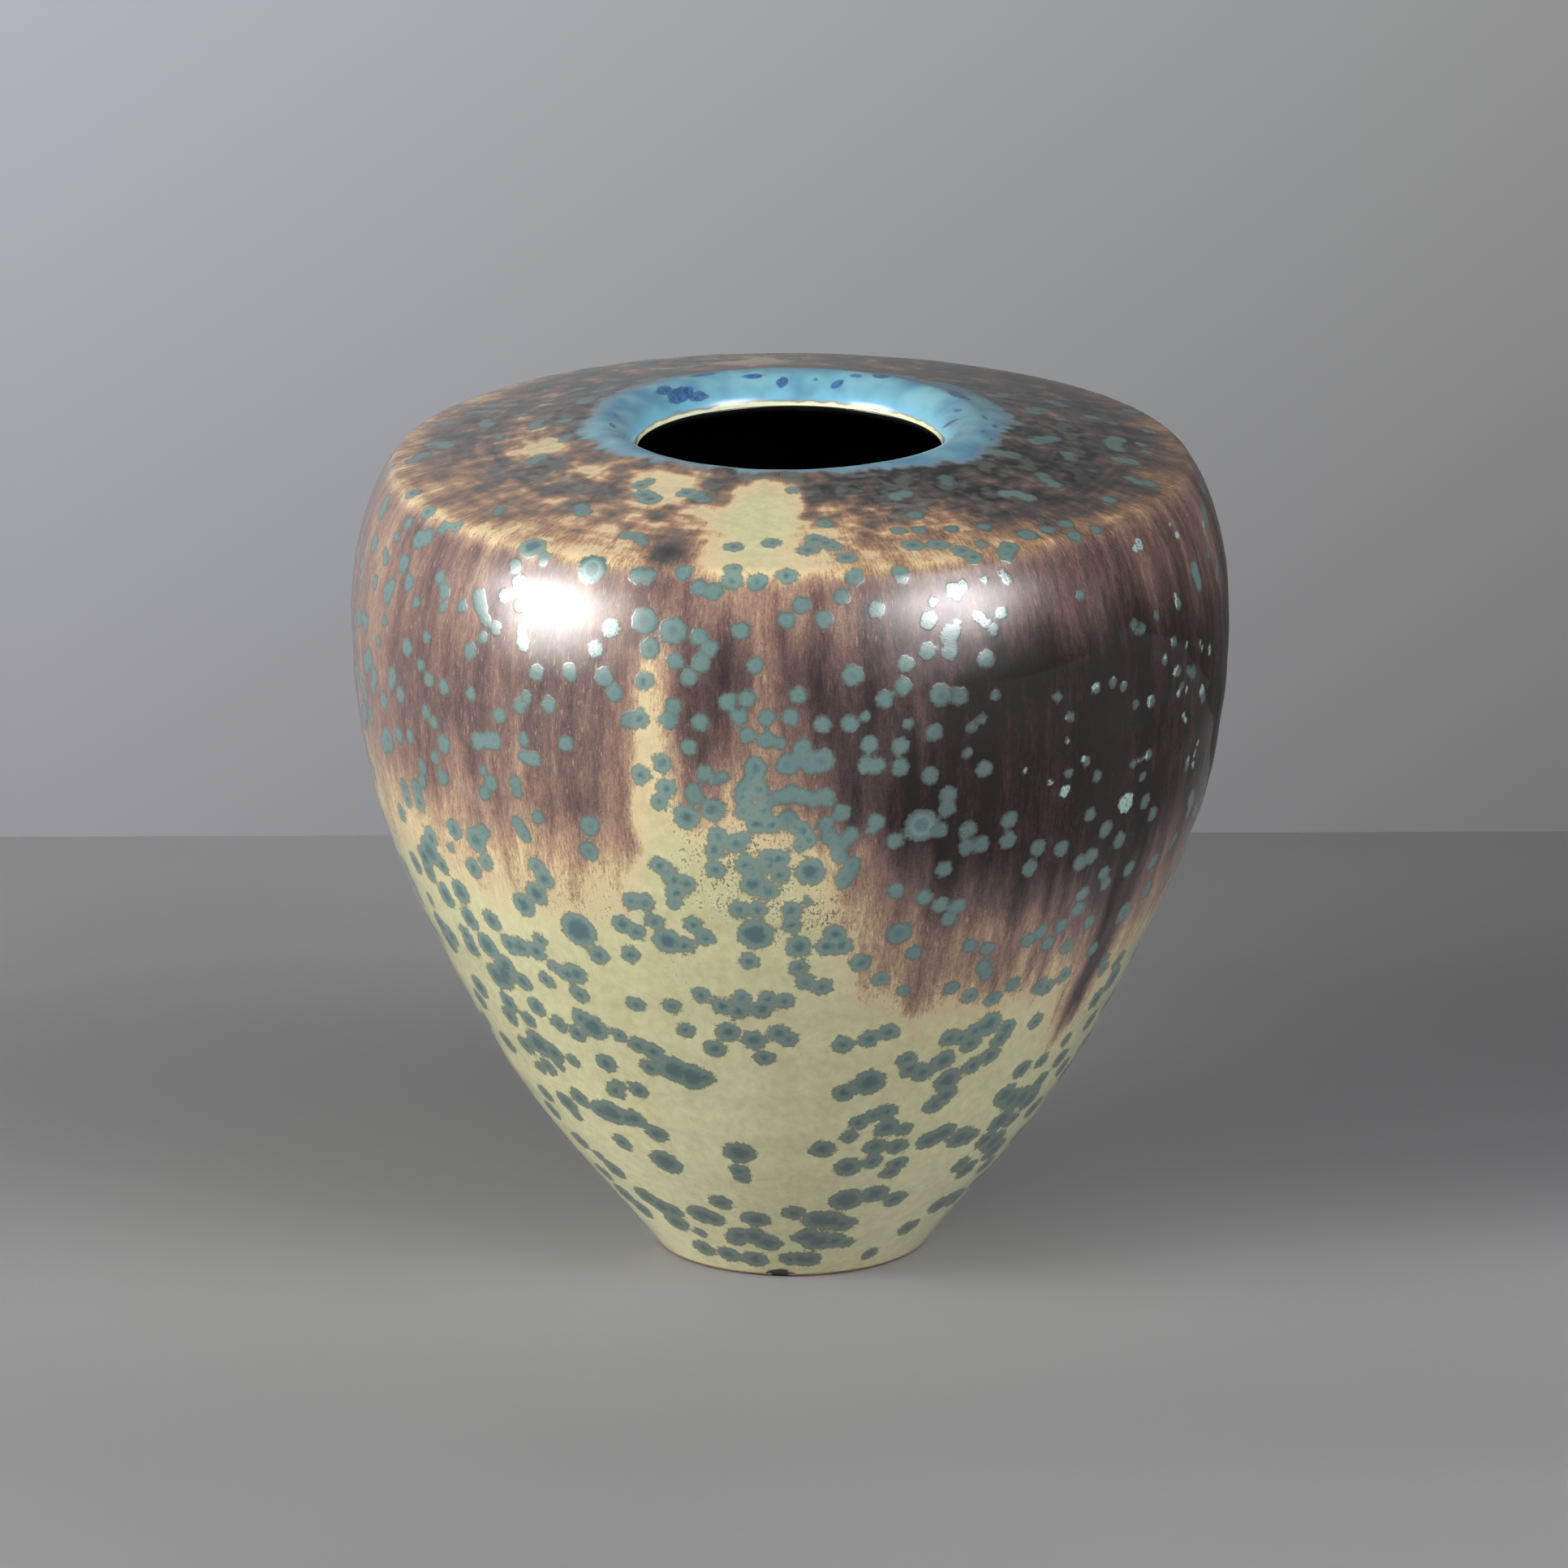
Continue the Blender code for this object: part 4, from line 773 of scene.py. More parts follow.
class Nodes:
    """Small helper for writing shader trees."""

    def __init__(self, name):
        self.mat = bpy.data.materials.new(name)
        self.mat.use_nodes = True
        self.tree = self.mat.node_tree
        for n in list(self.tree.nodes):
            self.tree.nodes.remove(n)
        self.out = self.tree.nodes.new("ShaderNodeOutputMaterial")

    def node(self, kind, **props):
        n = self.tree.nodes.new(kind)
        for k, v in props.items():
            setattr(n, k, v)
        return n

    def put(self, socket, value):
        if isinstance(value, bpy.types.NodeSocket):
            self.tree.links.new(value, socket)
        else:
            socket.default_value = value

    def math(self, op, a, b=0.0, c=0.0, clamp=False):
        n = self.node("ShaderNodeMath", operation=op, use_clamp=clamp)
        self.put(n.inputs[0], a)
        self.put(n.inputs[1], b)
        if op in ("MULTIPLY_ADD", "COMPARE", "SMOOTH_MIN", "SMOOTH_MAX"):
            self.put(n.inputs[2], c)
        return n.outputs[0]

    def add(self, a, b):
        return self.math("ADD", a, b)

    def sub(self, a, b):
        return self.math("SUBTRACT", a, b)

    def mul(self, a, b):
        return self.math("MULTIPLY", a, b)

    def fma(self, a, b, c):
        return self.math("MULTIPLY_ADD", a, b, c)

    def smooth(self, x, a, b, lo=0.0, hi=1.0):
        n = self.node("ShaderNodeMapRange", interpolation_type="SMOOTHSTEP")
        for i, v in enumerate((x, a, b, lo, hi)):
            self.put(n.inputs[i], v)
        return n.outputs[0]

    def mix(self, f, a, b):
        n = self.node("ShaderNodeMix", data_type="RGBA")
        self.put(n.inputs[0], f)
        self.put(n.inputs[6], a)
        self.put(n.inputs[7], b)
        return n.outputs[2]

    def shade(self, f, colour, times):
        """colour multiplied by times where f is 1."""
        n = self.node("ShaderNodeMix", data_type="RGBA", blend_type="MULTIPLY")
        self.put(n.inputs[0], f)
        self.put(n.inputs[6], colour)
        self.put(n.inputs[7], times)
        return n.outputs[2]

    def blend(self, f, a, b):
        n = self.node("ShaderNodeMix", data_type="FLOAT")
        self.put(n.inputs[0], f)
        self.put(n.inputs[2], a)
        self.put(n.inputs[3], b)
        return n.outputs[0]

    def attr(self, name, out="Fac"):
        return self.node("ShaderNodeAttribute", attribute_name=name).outputs[out]

    def stretch(self, vec, scale, shift=(0.0, 0.0, 0.0)):
        n = self.node("ShaderNodeVectorMath", operation="MULTIPLY_ADD")
        self.put(n.inputs[0], vec)
        self.put(n.inputs[1], scale)
        self.put(n.inputs[2], shift)
        return n.outputs[0]

    def noise(self, vec, detail=2.0, rough=0.5, distort=0.0, out=0):
        n = self.node("ShaderNodeTexNoise", noise_dimensions="3D")
        self.put(n.inputs["Vector"], vec)
        n.inputs["Scale"].default_value = 1.0
        n.inputs["Detail"].default_value = detail
        n.inputs["Roughness"].default_value = rough
        n.inputs["Distortion"].default_value = distort
        return n.outputs[out]

    def spots(self, vec, feature="F1", out=0, random=1.0):
        n = self.node("ShaderNodeTexVoronoi", voronoi_dimensions="3D", feature=feature)
        self.put(n.inputs["Vector"], vec)
        n.inputs["Scale"].default_value = 1.0
        n.inputs["Randomness"].default_value = random
        return n.outputs[out]

    def ramp(self, x, stops, ease="LINEAR"):
        n = self.node("ShaderNodeValToRGB")
        n.color_ramp.interpolation = ease
        e = n.color_ramp.elements
        while len(e) < len(stops):
            e.new(0.5)
        for el, (p, c) in zip(e, stops):
            el.position = p
            el.color = c
        self.put(n.inputs[0], x)
        return n.outputs[0]

    def bump(self, height, strength, distance, normal=None):
        n = self.node("ShaderNodeBump")
        n.inputs["Strength"].default_value = strength
        n.inputs["Distance"].default_value = distance
        self.put(n.inputs["Height"], height)
        if normal is not None:
            self.put(n.inputs["Normal"], normal)
        return n.outputs[0]

    def principled(self, **values):
        n = self.node("ShaderNodeBsdfPrincipled")
        for k, v in values.items():
            self.put(n.inputs[k.replace("_", " ")], v)
        self.tree.links.new(n.outputs[0], self.out.inputs["Surface"])
        return n


def glaze_material(name):
    """The whole glaze in one set of nodes: cream crystalline base, iron-brown coat, dark runs, blue collar, crystals."""
    g = Nodes(name)
    cyl = g.attr("g_cyl", "Vector")
    obj = g.stretch(g.node("ShaderNodeTexCoord").outputs["Object"], (1000.0,) * 3)   # mm
    a_iron, a_top, a_speck, a_tone = (g.attr("g_" + k) for k in ("iron", "top", "speck", "tone"))
    a_streak, a_blue, a_cobalt, a_lip = (g.attr("g_" + k) for k in ("streak", "blue", "cobalt", "lip"))
    a_cr = g.attr("g_crystal")
    vec = g.attr("g_cvec", "Vector")

    # streak noises: fine dashes, longer threads, broad bands, all running downhill
    dash = g.noise(g.stretch(cyl, (1.7, 1.7, 0.36)), 2.0, 0.6)
    thread = g.noise(g.stretch(cyl, (0.42, 0.42, 0.075), (7.0, 3.0, 1.0)), 3.0, 0.55)
    band = g.noise(g.stretch(cyl, (0.13, 0.13, 0.012), (2.0, 9.0, 4.0)), 2.0, 0.5)
    cloud = g.noise(g.stretch(obj, (0.12, 0.12, 0.12), (8.0, 1.0, 3.0)), 2.0, 0.5)
    patch = g.noise(g.stretch(obj, (0.24, 0.24, 0.24), (1.0, 6.0, 2.0)), 1.5, 0.5)
    hoop = g.noise(g.stretch(cyl, (0.022, 0.022, 0.34), (5.0, 5.0, 5.0)), 2.0, 0.5)
    fine = g.noise(g.stretch(obj, (2.4, 2.4, 2.4)), 3.0, 0.6)
    mottle = g.noise(g.stretch(obj, (0.35, 0.35, 0.30), (3.0, 1.0, 8.0)), 3.0, 0.55)

    # ---- cream base
    cream = g.ramp(g.fma(mottle, 0.8, g.fma(a_tone, 0.06, g.fma(a_streak, 0.04, 0.10))), [
        (0.30, tint(166, 163, 122)), (0.45, tint(174, 171, 132)), (0.58, tint(181, 178, 140)), (0.75, tint(189, 186, 148)),
    ])
    where = g.node("ShaderNodeSeparateXYZ")
    g.put(where.inputs[0], cyl)
    low = g.smooth(where.outputs[2], 105.0, 25.0)
    cream = g.shade(1.0, cream, g.mix(low, (0.93, 0.935, 0.93, 1), (1.11, 1.11, 1.11, 1)))
    grain = g.smooth(fine, 0.58, 0.74)
    cream = g.shade(g.mul(grain, 0.22), cream, (0.84, 0.81, 0.74, 1))
    cell = g.spots(g.stretch(obj, (0.40, 0.40, 0.36)))
    cream = g.shade(g.mul(g.smooth(cell, 0.10, 0.04), 0.6), cream, (0.45, 0.36, 0.30, 1))
    # a tan blush in the cream around and below the brown
    wash = g.mul(g.smooth(g.fma(g.sub(thread, 0.5), 0.8, g.attr("g_blush")), 0.10, 1.10), 0.85)
    cream = g.mix(wash, cream, g.mix(g.smooth(mottle, 0.40, 0.60), tint(172, 150, 116), tint(182, 163, 128)))
    speckle = g.noise(g.stretch(cyl, (1.5, 1.5, 0.95), (1.0, 5.0, 2.0)), 3.0, 0.7)
    speck_f = g.mul(g.smooth(g.fma(a_speck, 0.12, g.fma(g.sub(mottle, 0.5), 0.45, speckle)), 0.635, 0.69), g.smooth(a_speck, 0.02, 0.4))

    # ---- iron: amount set over the vase, broken into downhill streaks where it thins out, clouded on the top
    freedom = g.mul(g.smooth(a_iron, 0.05, 1.3), g.smooth(a_iron, 3.6, 1.8, 1.05, 1.15))
    a_iron = g.math("MINIMUM", a_iron, 4.45)
    place = g.node("ShaderNodeSeparateXYZ")
    g.put(place.inputs[0], cyl)
    inner = g.smooth(place.outputs[2], 252.0, 276.0)
    thin = g.smooth(a_iron, 2.6, 1.2)
    runs = g.fma(g.sub(dash, 0.5), g.blend(inner, g.blend(thin, 1.35, 2.3), 0.45), g.fma(
        g.sub(thread, 0.5), g.blend(inner, g.blend(thin, 1.6, 1.3), 0.8), g.mul(g.sub(band, 0.5), g.blend(inner, 2.3, 1.2))))
    clouds = g.fma(g.sub(cloud, 0.5), 5.8, g.fma(g.sub(patch, 0.5), 1.9, g.mul(g.sub(hoop, 0.5), 2.4)))
    streaks = g.fma(g.mul(a_top, g.blend(inner, 0.40, 1.0)), clouds, g.fma(g.sub(fine, 0.5), g.blend(a_top, 1.2, 0.35), runs))
    iron = g.fma(freedom, streaks, a_iron)
    iron_n = g.mul(iron, 0.2)
    wall_ramp = g.ramp(iron_n, [
        (0.02, tint(183, 176, 136)), (0.10, tint(184, 168, 132)), (0.20, tint(161, 140, 108)), (0.30, tint(141, 116, 94)),
        (0.40, tint(120, 96, 83)), (0.50, tint(100, 76, 68)), (0.60, tint(78, 59, 56)), (0.70, tint(56, 42, 39)),
        (0.80, tint(36, 25, 23)), (0.90, tint(21, 12, 11)),
    ])
    top_ramp = g.ramp(iron_n, [
        (0.02, tint(192, 187, 148)), (0.10, tint(192, 172, 132)), (0.20, tint(168, 138, 102)), (0.30, tint(139, 108, 81)),
        (0.40, tint(112, 87, 69)), (0.50, tint(88, 72, 62)), (0.60, tint(70, 61, 58)), (0.72, tint(50, 46, 45)),
        (0.84, tint(32, 30, 30)), (1.0, tint(18, 17, 18)),
    ])
    coat = g.mix(a_top, wall_ramp, top_ramp)
    coat = g.shade(g.mul(g.smooth(fine, 0.58, 0.76), g.blend(a_top, 0.35, 0.15)), coat, (0.68, 0.62, 0.60, 1))
    coat = g.shade(g.mul(g.smooth(mottle, 0.42, 0.62), 0.22), coat, (0.86, 0.84, 0.88, 1))
    # short maroon dashes where the coat thins, and pale ones inside it
    tick = g.noise(g.stretch(cyl, (2.3, 2.3, 0.80), (3.0, 8.0, 2.0)), 2.0, 0.6)
    tock = g.noise(g.stretch(cyl, (1.9, 1.9, 0.30), (9.0, 4.0, 7.0)), 2.0, 0.6)
    ticks = g.mul(g.smooth(g.fma(g.sub(thread, 0.5), 0.35, tick), 0.60, 0.68), g.mul(g.smooth(iron, 0.25, 0.9), g.smooth(a_iron, 3.4, 2.2)))
    tocks = g.mul(g.smooth(tock, 0.62, 0.72), g.mul(g.smooth(a_iron, 1.1, 1.8), g.smooth(a_iron, 3.3, 2.6)))
    coat = g.mix(g.mul(ticks, 0.65), coat, tint(92, 64, 52))
    coat = g.mix(g.mul(tocks, 0.45), coat, tint(170, 143, 114))
    f_coat = g.smooth(iron, 0.02, 0.95)
    base = g.mix(f_coat, cream, coat)
    # dull grey-green haze where the coat is thin on the top
    haze = g.mul(g.smooth(g.fma(g.sub(patch, 0.5), -0.5, cloud), 0.50, 0.64), g.mul(g.smooth(place.outputs[2], 258.0, 282.0), g.smooth(a_iron, 0.9, 1.8)))
    base = g.mix(g.mul(haze, 0.42), base, tint(98, 104, 96))
    base = g.mix(g.mul(speck_f, 0.85), base, tint(94, 76, 60))
    f_brown = g.smooth(a_iron, 0.9, 1.9)
    f_dark = g.smooth(a_iron, 3.5, 4.4)

    # ---- crystals
    serr = g.noise(g.stretch(obj, (2.1, 2.1, 2.1), (4.0, 4.0, 4.0)), 3.0, 0.65)
    lobes = g.noise(g.stretch(obj, (0.62, 0.62, 0.62), (9.0, 2.0, 6.0)), 1.0, 0.5)
    sd = g.fma(g.sub(serr, 0.5), g.blend(f_brown, 2.1, 0.5), g.fma(g.sub(lobes, 0.5), g.blend(f_brown, 2.4, 1.6), g.add(a_cr, g.blend(f_brown, -0.56, -0.16))))
    deep = g.fma(g.sub(serr, 0.5), 1.0, g.mul(sd, -1.0))            # how far inside the crystal, mm
    f_cr = g.smooth(sd, g.blend(f_brown, 0.08, 0.22), g.blend(f_brown, -0.10, -0.30))
    f_rim = g.mul(g.smooth(sd, 0.50, 0.12), g.smooth(sd, -0.60, -0.10))
    dist = g.node("ShaderNodeVectorMath", operation="LENGTH")
    flat = g.stretch(vec, (1.0, 1.0, 0.0))
    g.put(dist.inputs[0], flat)
    rr = dist.outputs["Value"]
    sep = g.node("ShaderNodeSeparateXYZ")
    g.put(sep.inputs[0], vec)
    kind = sep.outputs[2]
    is_ring = g.mul(g.smooth(kind, 0.45, 0.8), g.smooth(kind, 1.55, 1.2))
    pale_and_painted_glint = g.smooth(kind, 1.5, 1.9)
    needles = g.noise(g.stretch(obj, (1.4, 1.4, 1.4), (0.0, 7.0, 0.0)), 3.0, 0.7)
    fibre = g.mul(g.sub(needles, 0.5), 0.30)
    body_cream = g.ramp(g.fma(deep, 0.30, fibre), [
        (0.0, tint(97, 101, 82)), (0.10, tint(99, 113, 102)), (0.30, tint(100, 120, 113)), (0.55, tint(87, 111, 107)),
        (0.85, tint(62, 88, 90)),
    ])
    body_brown = g.ramp(g.fma(deep, 0.30, g.mul(fibre, 1.4)), [
        (0.0, tint(62, 74, 69)), (0.12, tint(73, 94, 90)), (0.35, tint(82, 106, 103)), (0.62, tint(80, 105, 103)),
        (0.95, tint(70, 95, 96)),
    ])
    body = g.mix(f_brown, body_cream, body_brown)
    core_edge = g.fma(g.sub(serr, 0.5), 0.5, rr)
    f_core = g.mul(g.smooth(core_edge, 0.62, 0.10), g.smooth(deep, 1.2, 2.4))
    body = g.mix(g.mul(f_core, g.blend(f_brown, 0.55, 0.30)), body, tint(56, 84, 92))
    ring_col = g.ramp(core_edge, [
        (0.20, tint(84, 106, 106)), (0.42, tint(88, 111, 110)), (0.56, tint(112, 136, 131)), (0.70, tint(96, 118, 114)),
        (0.92, tint(74, 92, 90)),
    ])
    body = g.mix(is_ring, body, ring_col)
    # kind 2 turns pale: its own colour for the flecks in the dark areas, a painted highlight for those set under the
    # lights
    body = g.mix(g.mul(pale_and_painted_glint, g.smooth(needles, 0.38, 0.52)), body, tint(136, 158, 152))
    # pale flecks in the crystals over the brown: partly pale needles of their own, partly a painted glint
    fleck_and_glint = g.mul(g.smooth(needles, 0.60, 0.70), g.blend(f_dark, 0.22, 0.8))
    body = g.mix(g.mul(fleck_and_glint, f_brown), body, tint(128, 148, 142))
    body = g.shade(g.mul(f_dark, g.sub(1.0, pale_and_painted_glint)), body, (0.60, 0.62, 0.64, 1))
    body = g.shade(g.smooth(where.outputs[2], 132.0, 82.0), body, (0.77, 0.78, 0.73, 1))
    rim_col = g.mix(f_brown, tint(112, 112, 90), tint(82, 86, 80))
    colour = g.mix(g.mul(f_rim, g.blend(f_brown, 0.60, 0.35)), base, rim_col)
    colour = g.mix(f_cr, colour, body)

    # ---- blue collar
    blue_n = g.noise(g.stretch(obj, (0.10, 0.10, 0.10), (2.0, 2.0, 5.0)), 1.5, 0.5)
    edge_n = g.noise(g.stretch(obj, (0.7, 0.7, 0.7), (6.0, 2.0, 5.0)), 3.0, 0.6)
    blot_n = g.noise(g.stretch(obj, (0.17, 0.17, 0.17), (4.0, 7.0, 1.0)), 1.5, 0.5)
    blue_in = g.fma(g.sub(edge_n, 0.5), 1.9, g.fma(g.sub(blot_n, 0.5), 5.5, a_blue))
    f_blue = g.smooth(blue_in, -1.3, 1.8)
    depth_in = g.smooth(a_blue, 0.0, 9.0)
    sky = g.ramp(g.fma(depth_in, 0.26, g.fma(g.sub(blue_n, 0.5), 0.9, g.fma(g.sub(blot_n, 0.5), 0.35, 0.06))), [
        (0.00, tint(62, 108, 140)), (0.14, tint(76, 122, 144)), (0.28, tint(90, 137, 151)), (0.44, tint(104, 151, 162)),
    ])
    # paler blue just below the lip is painted light: there the inner roll faces the lights
    lip_painted_light = g.mul(g.smooth(a_lip, -5.0, -0.6), g.smooth(blue_n, 0.30, 0.46))
    sky = g.mix(g.mul(lip_painted_light, 0.7), sky, tint(98, 162, 190))
    sky = g.mix(g.mul(g.smooth(blue_in, 5.0, 0.6), 0.60), sky, tint(108, 122, 122))
    f_cob = g.smooth(g.fma(g.sub(edge_n, 0.5), 0.65, a_cobalt), 0.38, 0.58)
    sky = g.mix(g.mul(f_cob, 0.92), sky, g.mix(g.smooth(edge_n, 0.40, 0.62), tint(34, 62, 100), tint(52, 92, 140)))
    colour = g.mix(f_blue, colour, sky)

    # ---- thin tan line, then the pale band where the glaze breaks over the lip
    lip_in = g.fma(g.sub(edge_n, 0.5), 0.5, a_lip)
    f_tan = g.mul(g.smooth(lip_in, -0.75, -0.35), g.smooth(lip_in, 0.25, -0.05))
    colour = g.mix(g.mul(f_tan, 0.75), colour, tint(138, 130, 112))
    colour = g.mix(g.smooth(lip_in, -0.05, 0.30), colour, tint(206, 206, 168))

    # ---- one dark chip at the edge of the foot
    chip_in = g.fma(g.sub(serr, 0.5), 0.7, g.attr("g_chip"))
    colour = g.mix(g.mul(g.smooth(chip_in, 0.10, 0.30), 0.5), colour, tint(110, 78, 60))
    colour = g.mix(g.smooth(chip_in, 0.24, 0.40), colour, (0.010, 0.008, 0.008, 1))

    # ---- surface: sharp glassy coat, broader gloss below, duller over the crystals
    in_glaze = g.sub(1.0, f_blue)
    cr_on = g.mul(f_cr, in_glaze)
    rough = g.blend(cr_on, g.fma(fine, 0.16, 0.34), g.fma(needles, 0.2, 0.26))
    coat_rough = g.blend(cr_on, g.fma(mottle, 0.06, 0.03), g.fma(needles, 0.16, 0.10))
    waviness = g.noise(g.stretch(obj, (0.16, 0.16, 0.16), (5.0, 1.0, 1.0)), 2.0, 0.5)
    h1 = g.fma(waviness, 0.06, g.fma(fine, 0.010, g.mul(cr_on, g.fma(needles, 0.05, 0.02))))
    h2 = g.fma(waviness, 0.05, g.fma(fine, 0.003, g.mul(cr_on, g.fma(needles, 0.035, 0.015))))
    n_base = g.bump(h1, 1.0, 0.001)
    n_coat = g.bump(h2, 1.0, 0.001)
    # the flat top keeps the backdrop's reflection but is flagged off from the front lights, which would bleach it from behind
    geo = g.node("ShaderNodeNewGeometry")
    nrm, inc = g.node("ShaderNodeSeparateXYZ"), g.node("ShaderNodeSeparateXYZ")
    g.put(nrm.inputs[0], geo.outputs["Normal"])
    g.put(inc.inputs[0], geo.outputs["Incoming"])
    facing = g.node("ShaderNodeVectorMath", operation="DOT_PRODUCT")
    g.put(facing.inputs[0], geo.outputs["Normal"])
    g.put(facing.inputs[1], geo.outputs["Incoming"])
    bounce_y = g.sub(g.mul(g.mul(facing.outputs["Value"], 2.0), nrm.outputs[1]), inc.outputs[1])
    flag = g.mul(g.smooth(bounce_y, 0.45, 0.0), g.mul(g.smooth(nrm.outputs[2], 0.86, 0.95), in_glaze))
    behind = g.mul(g.smooth(inc.outputs[1], 0.10, 0.45), g.mul(g.smooth(bounce_y, 0.30, -0.10), g.smooth(nrm.outputs[2], 0.62, 0.85)))
    flag = g.math("MAXIMUM", flag, g.mul(behind, 0.9))
    p = g.principled(Base_Color=colour, Roughness=rough)
    spec = g.blend(cr_on, g.blend(g.mul(f_dark, g.smooth(place.outputs[2], 226.0, 182.0)), 0.38, 0.06), 0.42)
    g.put(p.inputs["Specular IOR Level"], g.mul(spec, g.fma(flag, -0.9, 1.0)))
    p.inputs["IOR"].default_value = 1.5
    g.put(p.inputs["Coat Weight"], g.fma(flag, -0.97, 1.0))
    g.put(p.inputs["Coat IOR"], g.blend(cr_on, g.blend(f_dark, 1.58, 1.51), 1.88))
    g.put(p.inputs["Coat Roughness"], coat_rough)
    g.put(p.inputs["Normal"], n_base)
    g.put(p.inputs["Coat Normal"], n_coat)
    return g.mat


def liner_material(name):
    g = Nodes(name)
    cyl = g.attr("g_cyl", "Vector")
    streak = g.noise(g.stretch(cyl, (0.4, 0.4, 0.08)), 3.0, 0.55)
    spots = g.noise(g.stretch(cyl, (1.8, 1.8, 1.8)), 2.0, 0.6)
    colour = g.ramp(g.fma(streak, 0.8, g.mul(spots, 0.2)), [
        (0.35, (0.006, 0.0055, 0.0054, 1)), (0.6, (0.011, 0.0098, 0.0094, 1)), (0.8, (0.019, 0.0165, 0.0155, 1)),
    ])
    p = g.principled(Base_Color=colour, Roughness=g.fma(streak, 0.1, 0.10))
    p.inputs["Coat Weight"].default_value = 0.25
    g.put(p.inputs["Normal"], g.bump(g.fma(streak, 0.12, g.mul(spots, 0.01)), 1.0, 0.001))
    return g.mat


def clay_material(name):
    g = Nodes(name)
    obj = g.stretch(g.node("ShaderNodeTexCoord").outputs["Object"], (1000.0,) * 3)
    grog = g.noise(g.stretch(obj, (1.9, 1.9, 1.9)), 4.0, 0.65)
    blot = g.noise(g.stretch(obj, (0.12, 0.12, 0.12)), 3.0, 0.5)
    spots = g.spots(g.stretch(obj, (0.55, 0.55, 0.55)))
    colour = g.ramp(g.fma(grog, 0.55, g.mul(blot, 0.45)), [
        (0.34, tint(92, 72, 56)), (0.48, tint(124, 100, 80)), (0.60, tint(146, 120, 96)), (0.74, tint(170, 144, 116)),
    ])
    colour = g.shade(g.mul(g.smooth(spots, 0.2, 0.08), 0.7), colour, (0.35, 0.28, 0.24, 1))
    # the chip at the front of the foot runs on over the bare edge
    at = g.node("ShaderNodeSeparateXYZ")
    g.put(at.inputs[0], obj)
    across = g.math("ABSOLUTE", g.fma(g.sub(grog, 0.5), 3.0, g.add(at.outputs[0], 3.4)))
    chip = g.mul(g.smooth(across, 3.0, 2.0), g.smooth(at.outputs[1], -30.0, -34.0))
    colour = g.mix(chip, colour, (0.010, 0.008, 0.008, 1))
    p = g.principled(Base_Color=colour, Roughness=g.fma(grog, 0.2, 0.68))
    g.put(p.inputs["Normal"], g.bump(g.fma(grog, 0.16, g.mul(blot, 0.2)), 1.0, 0.001))
    return g.mat


for key, mat_name in (("base_glaze", "cream_crystal_glaze"), ("brown_wall", "iron_brown_glaze_wall"),
                      ("brown_top", "iron_brown_glaze_top"), ("collar", "blue_collar_glaze"), ("lip", "pale_lip_glaze")):
    PIECES[key].data.materials.append(glaze_material(mat_name))
PIECES["liner"].data.materials.append(liner_material("dark_liner_glaze"))
PIECES["clay"].data.materials.append(clay_material("bare_stoneware"))

# ------------------------------------------------------------------ floor, backdrop, light, camera
scene = bpy.context.scene
scene.view_settings.view_transform = "Standard"
scene.view_settings.look = "None"


def plane(name, corners):
    mesh = bpy.data.meshes.new(name)
    mesh.from_pydata([Vector(c) for c in corners], [], [tuple(range(len(corners)))])
    obj = bpy.data.objects.new(name, mesh)
    scene.collection.objects.link(obj)
    return obj


floor = plane("floor", [(-9, -9, 0), (9, -9, 0), (9, 9, 0), (-9, 9, 0)])
g = Nodes("floor_paper_painted_shade")
pos = g.node("ShaderNodeNewGeometry").outputs["Position"]
sep = g.node("ShaderNodeSeparateXYZ")
g.put(sep.inputs[0], pos)
blot = g.noise(g.stretch(pos, (6.0, 6.0, 6.0)), 3.0, 0.5)
y01 = g.fma(sep.outputs[1], 1 / 0.55, 0.21 / 0.55)         # 0 in front of the vase at y = -0.21, 1 behind it at y = 0.34


def grey(x, stops):
    return g.ramp(x, [((y + 0.21) / 0.55, (v, v, v, 1)) for y, v in stops], "B_SPLINE")


# the paper's grey carries painted shade and light: darker bands behind and beside the vase are painted shadow, the
# lighter strip in front of and beneath it a painted pool of light
left = grey(y01, [(-0.21, 0.217), (-0.165, 0.208), (-0.10, 0.232), (-0.055, 0.242), (-0.015, 0.228), (0.03, 0.208),
                  (0.11, 0.199), (0.155, 0.208), (0.20, 0.240), (0.25, 0.285), (0.34, 0.300)])
right = grey(y01, [(-0.21, 0.245), (-0.165, 0.226), (-0.10, 0.258), (-0.055, 0.284), (-0.015, 0.320), (0.03, 0.250),
                   (0.068, 0.212), (0.11, 0.198), (0.20, 0.170), (0.25, 0.180), (0.34, 0.200)])
paper_painted_shade = g.mix(g.smooth(sep.outputs[0], -0.13, 0.13), left, right)
tone_f = g.fma(g.sub(blot, 0.5), 0.10, 1.0)
col = g.node("ShaderNodeMix", data_type="RGBA", blend_type="MULTIPLY")
g.put(col.inputs[0], 1.0)
g.put(col.inputs[6], paper_painted_shade)
combine = g.node("ShaderNodeCombineColor")
for i, k in enumerate((1.0, 0.994, 1.007)):
    g.put(combine.inputs[i], g.mul(tone_f, k))
g.put(col.inputs[7], combine.outputs[0])
p = g.principled(Base_Color=col.outputs[2], Roughness=0.85)
p.inputs["Specular IOR Level"].default_value = 0.2
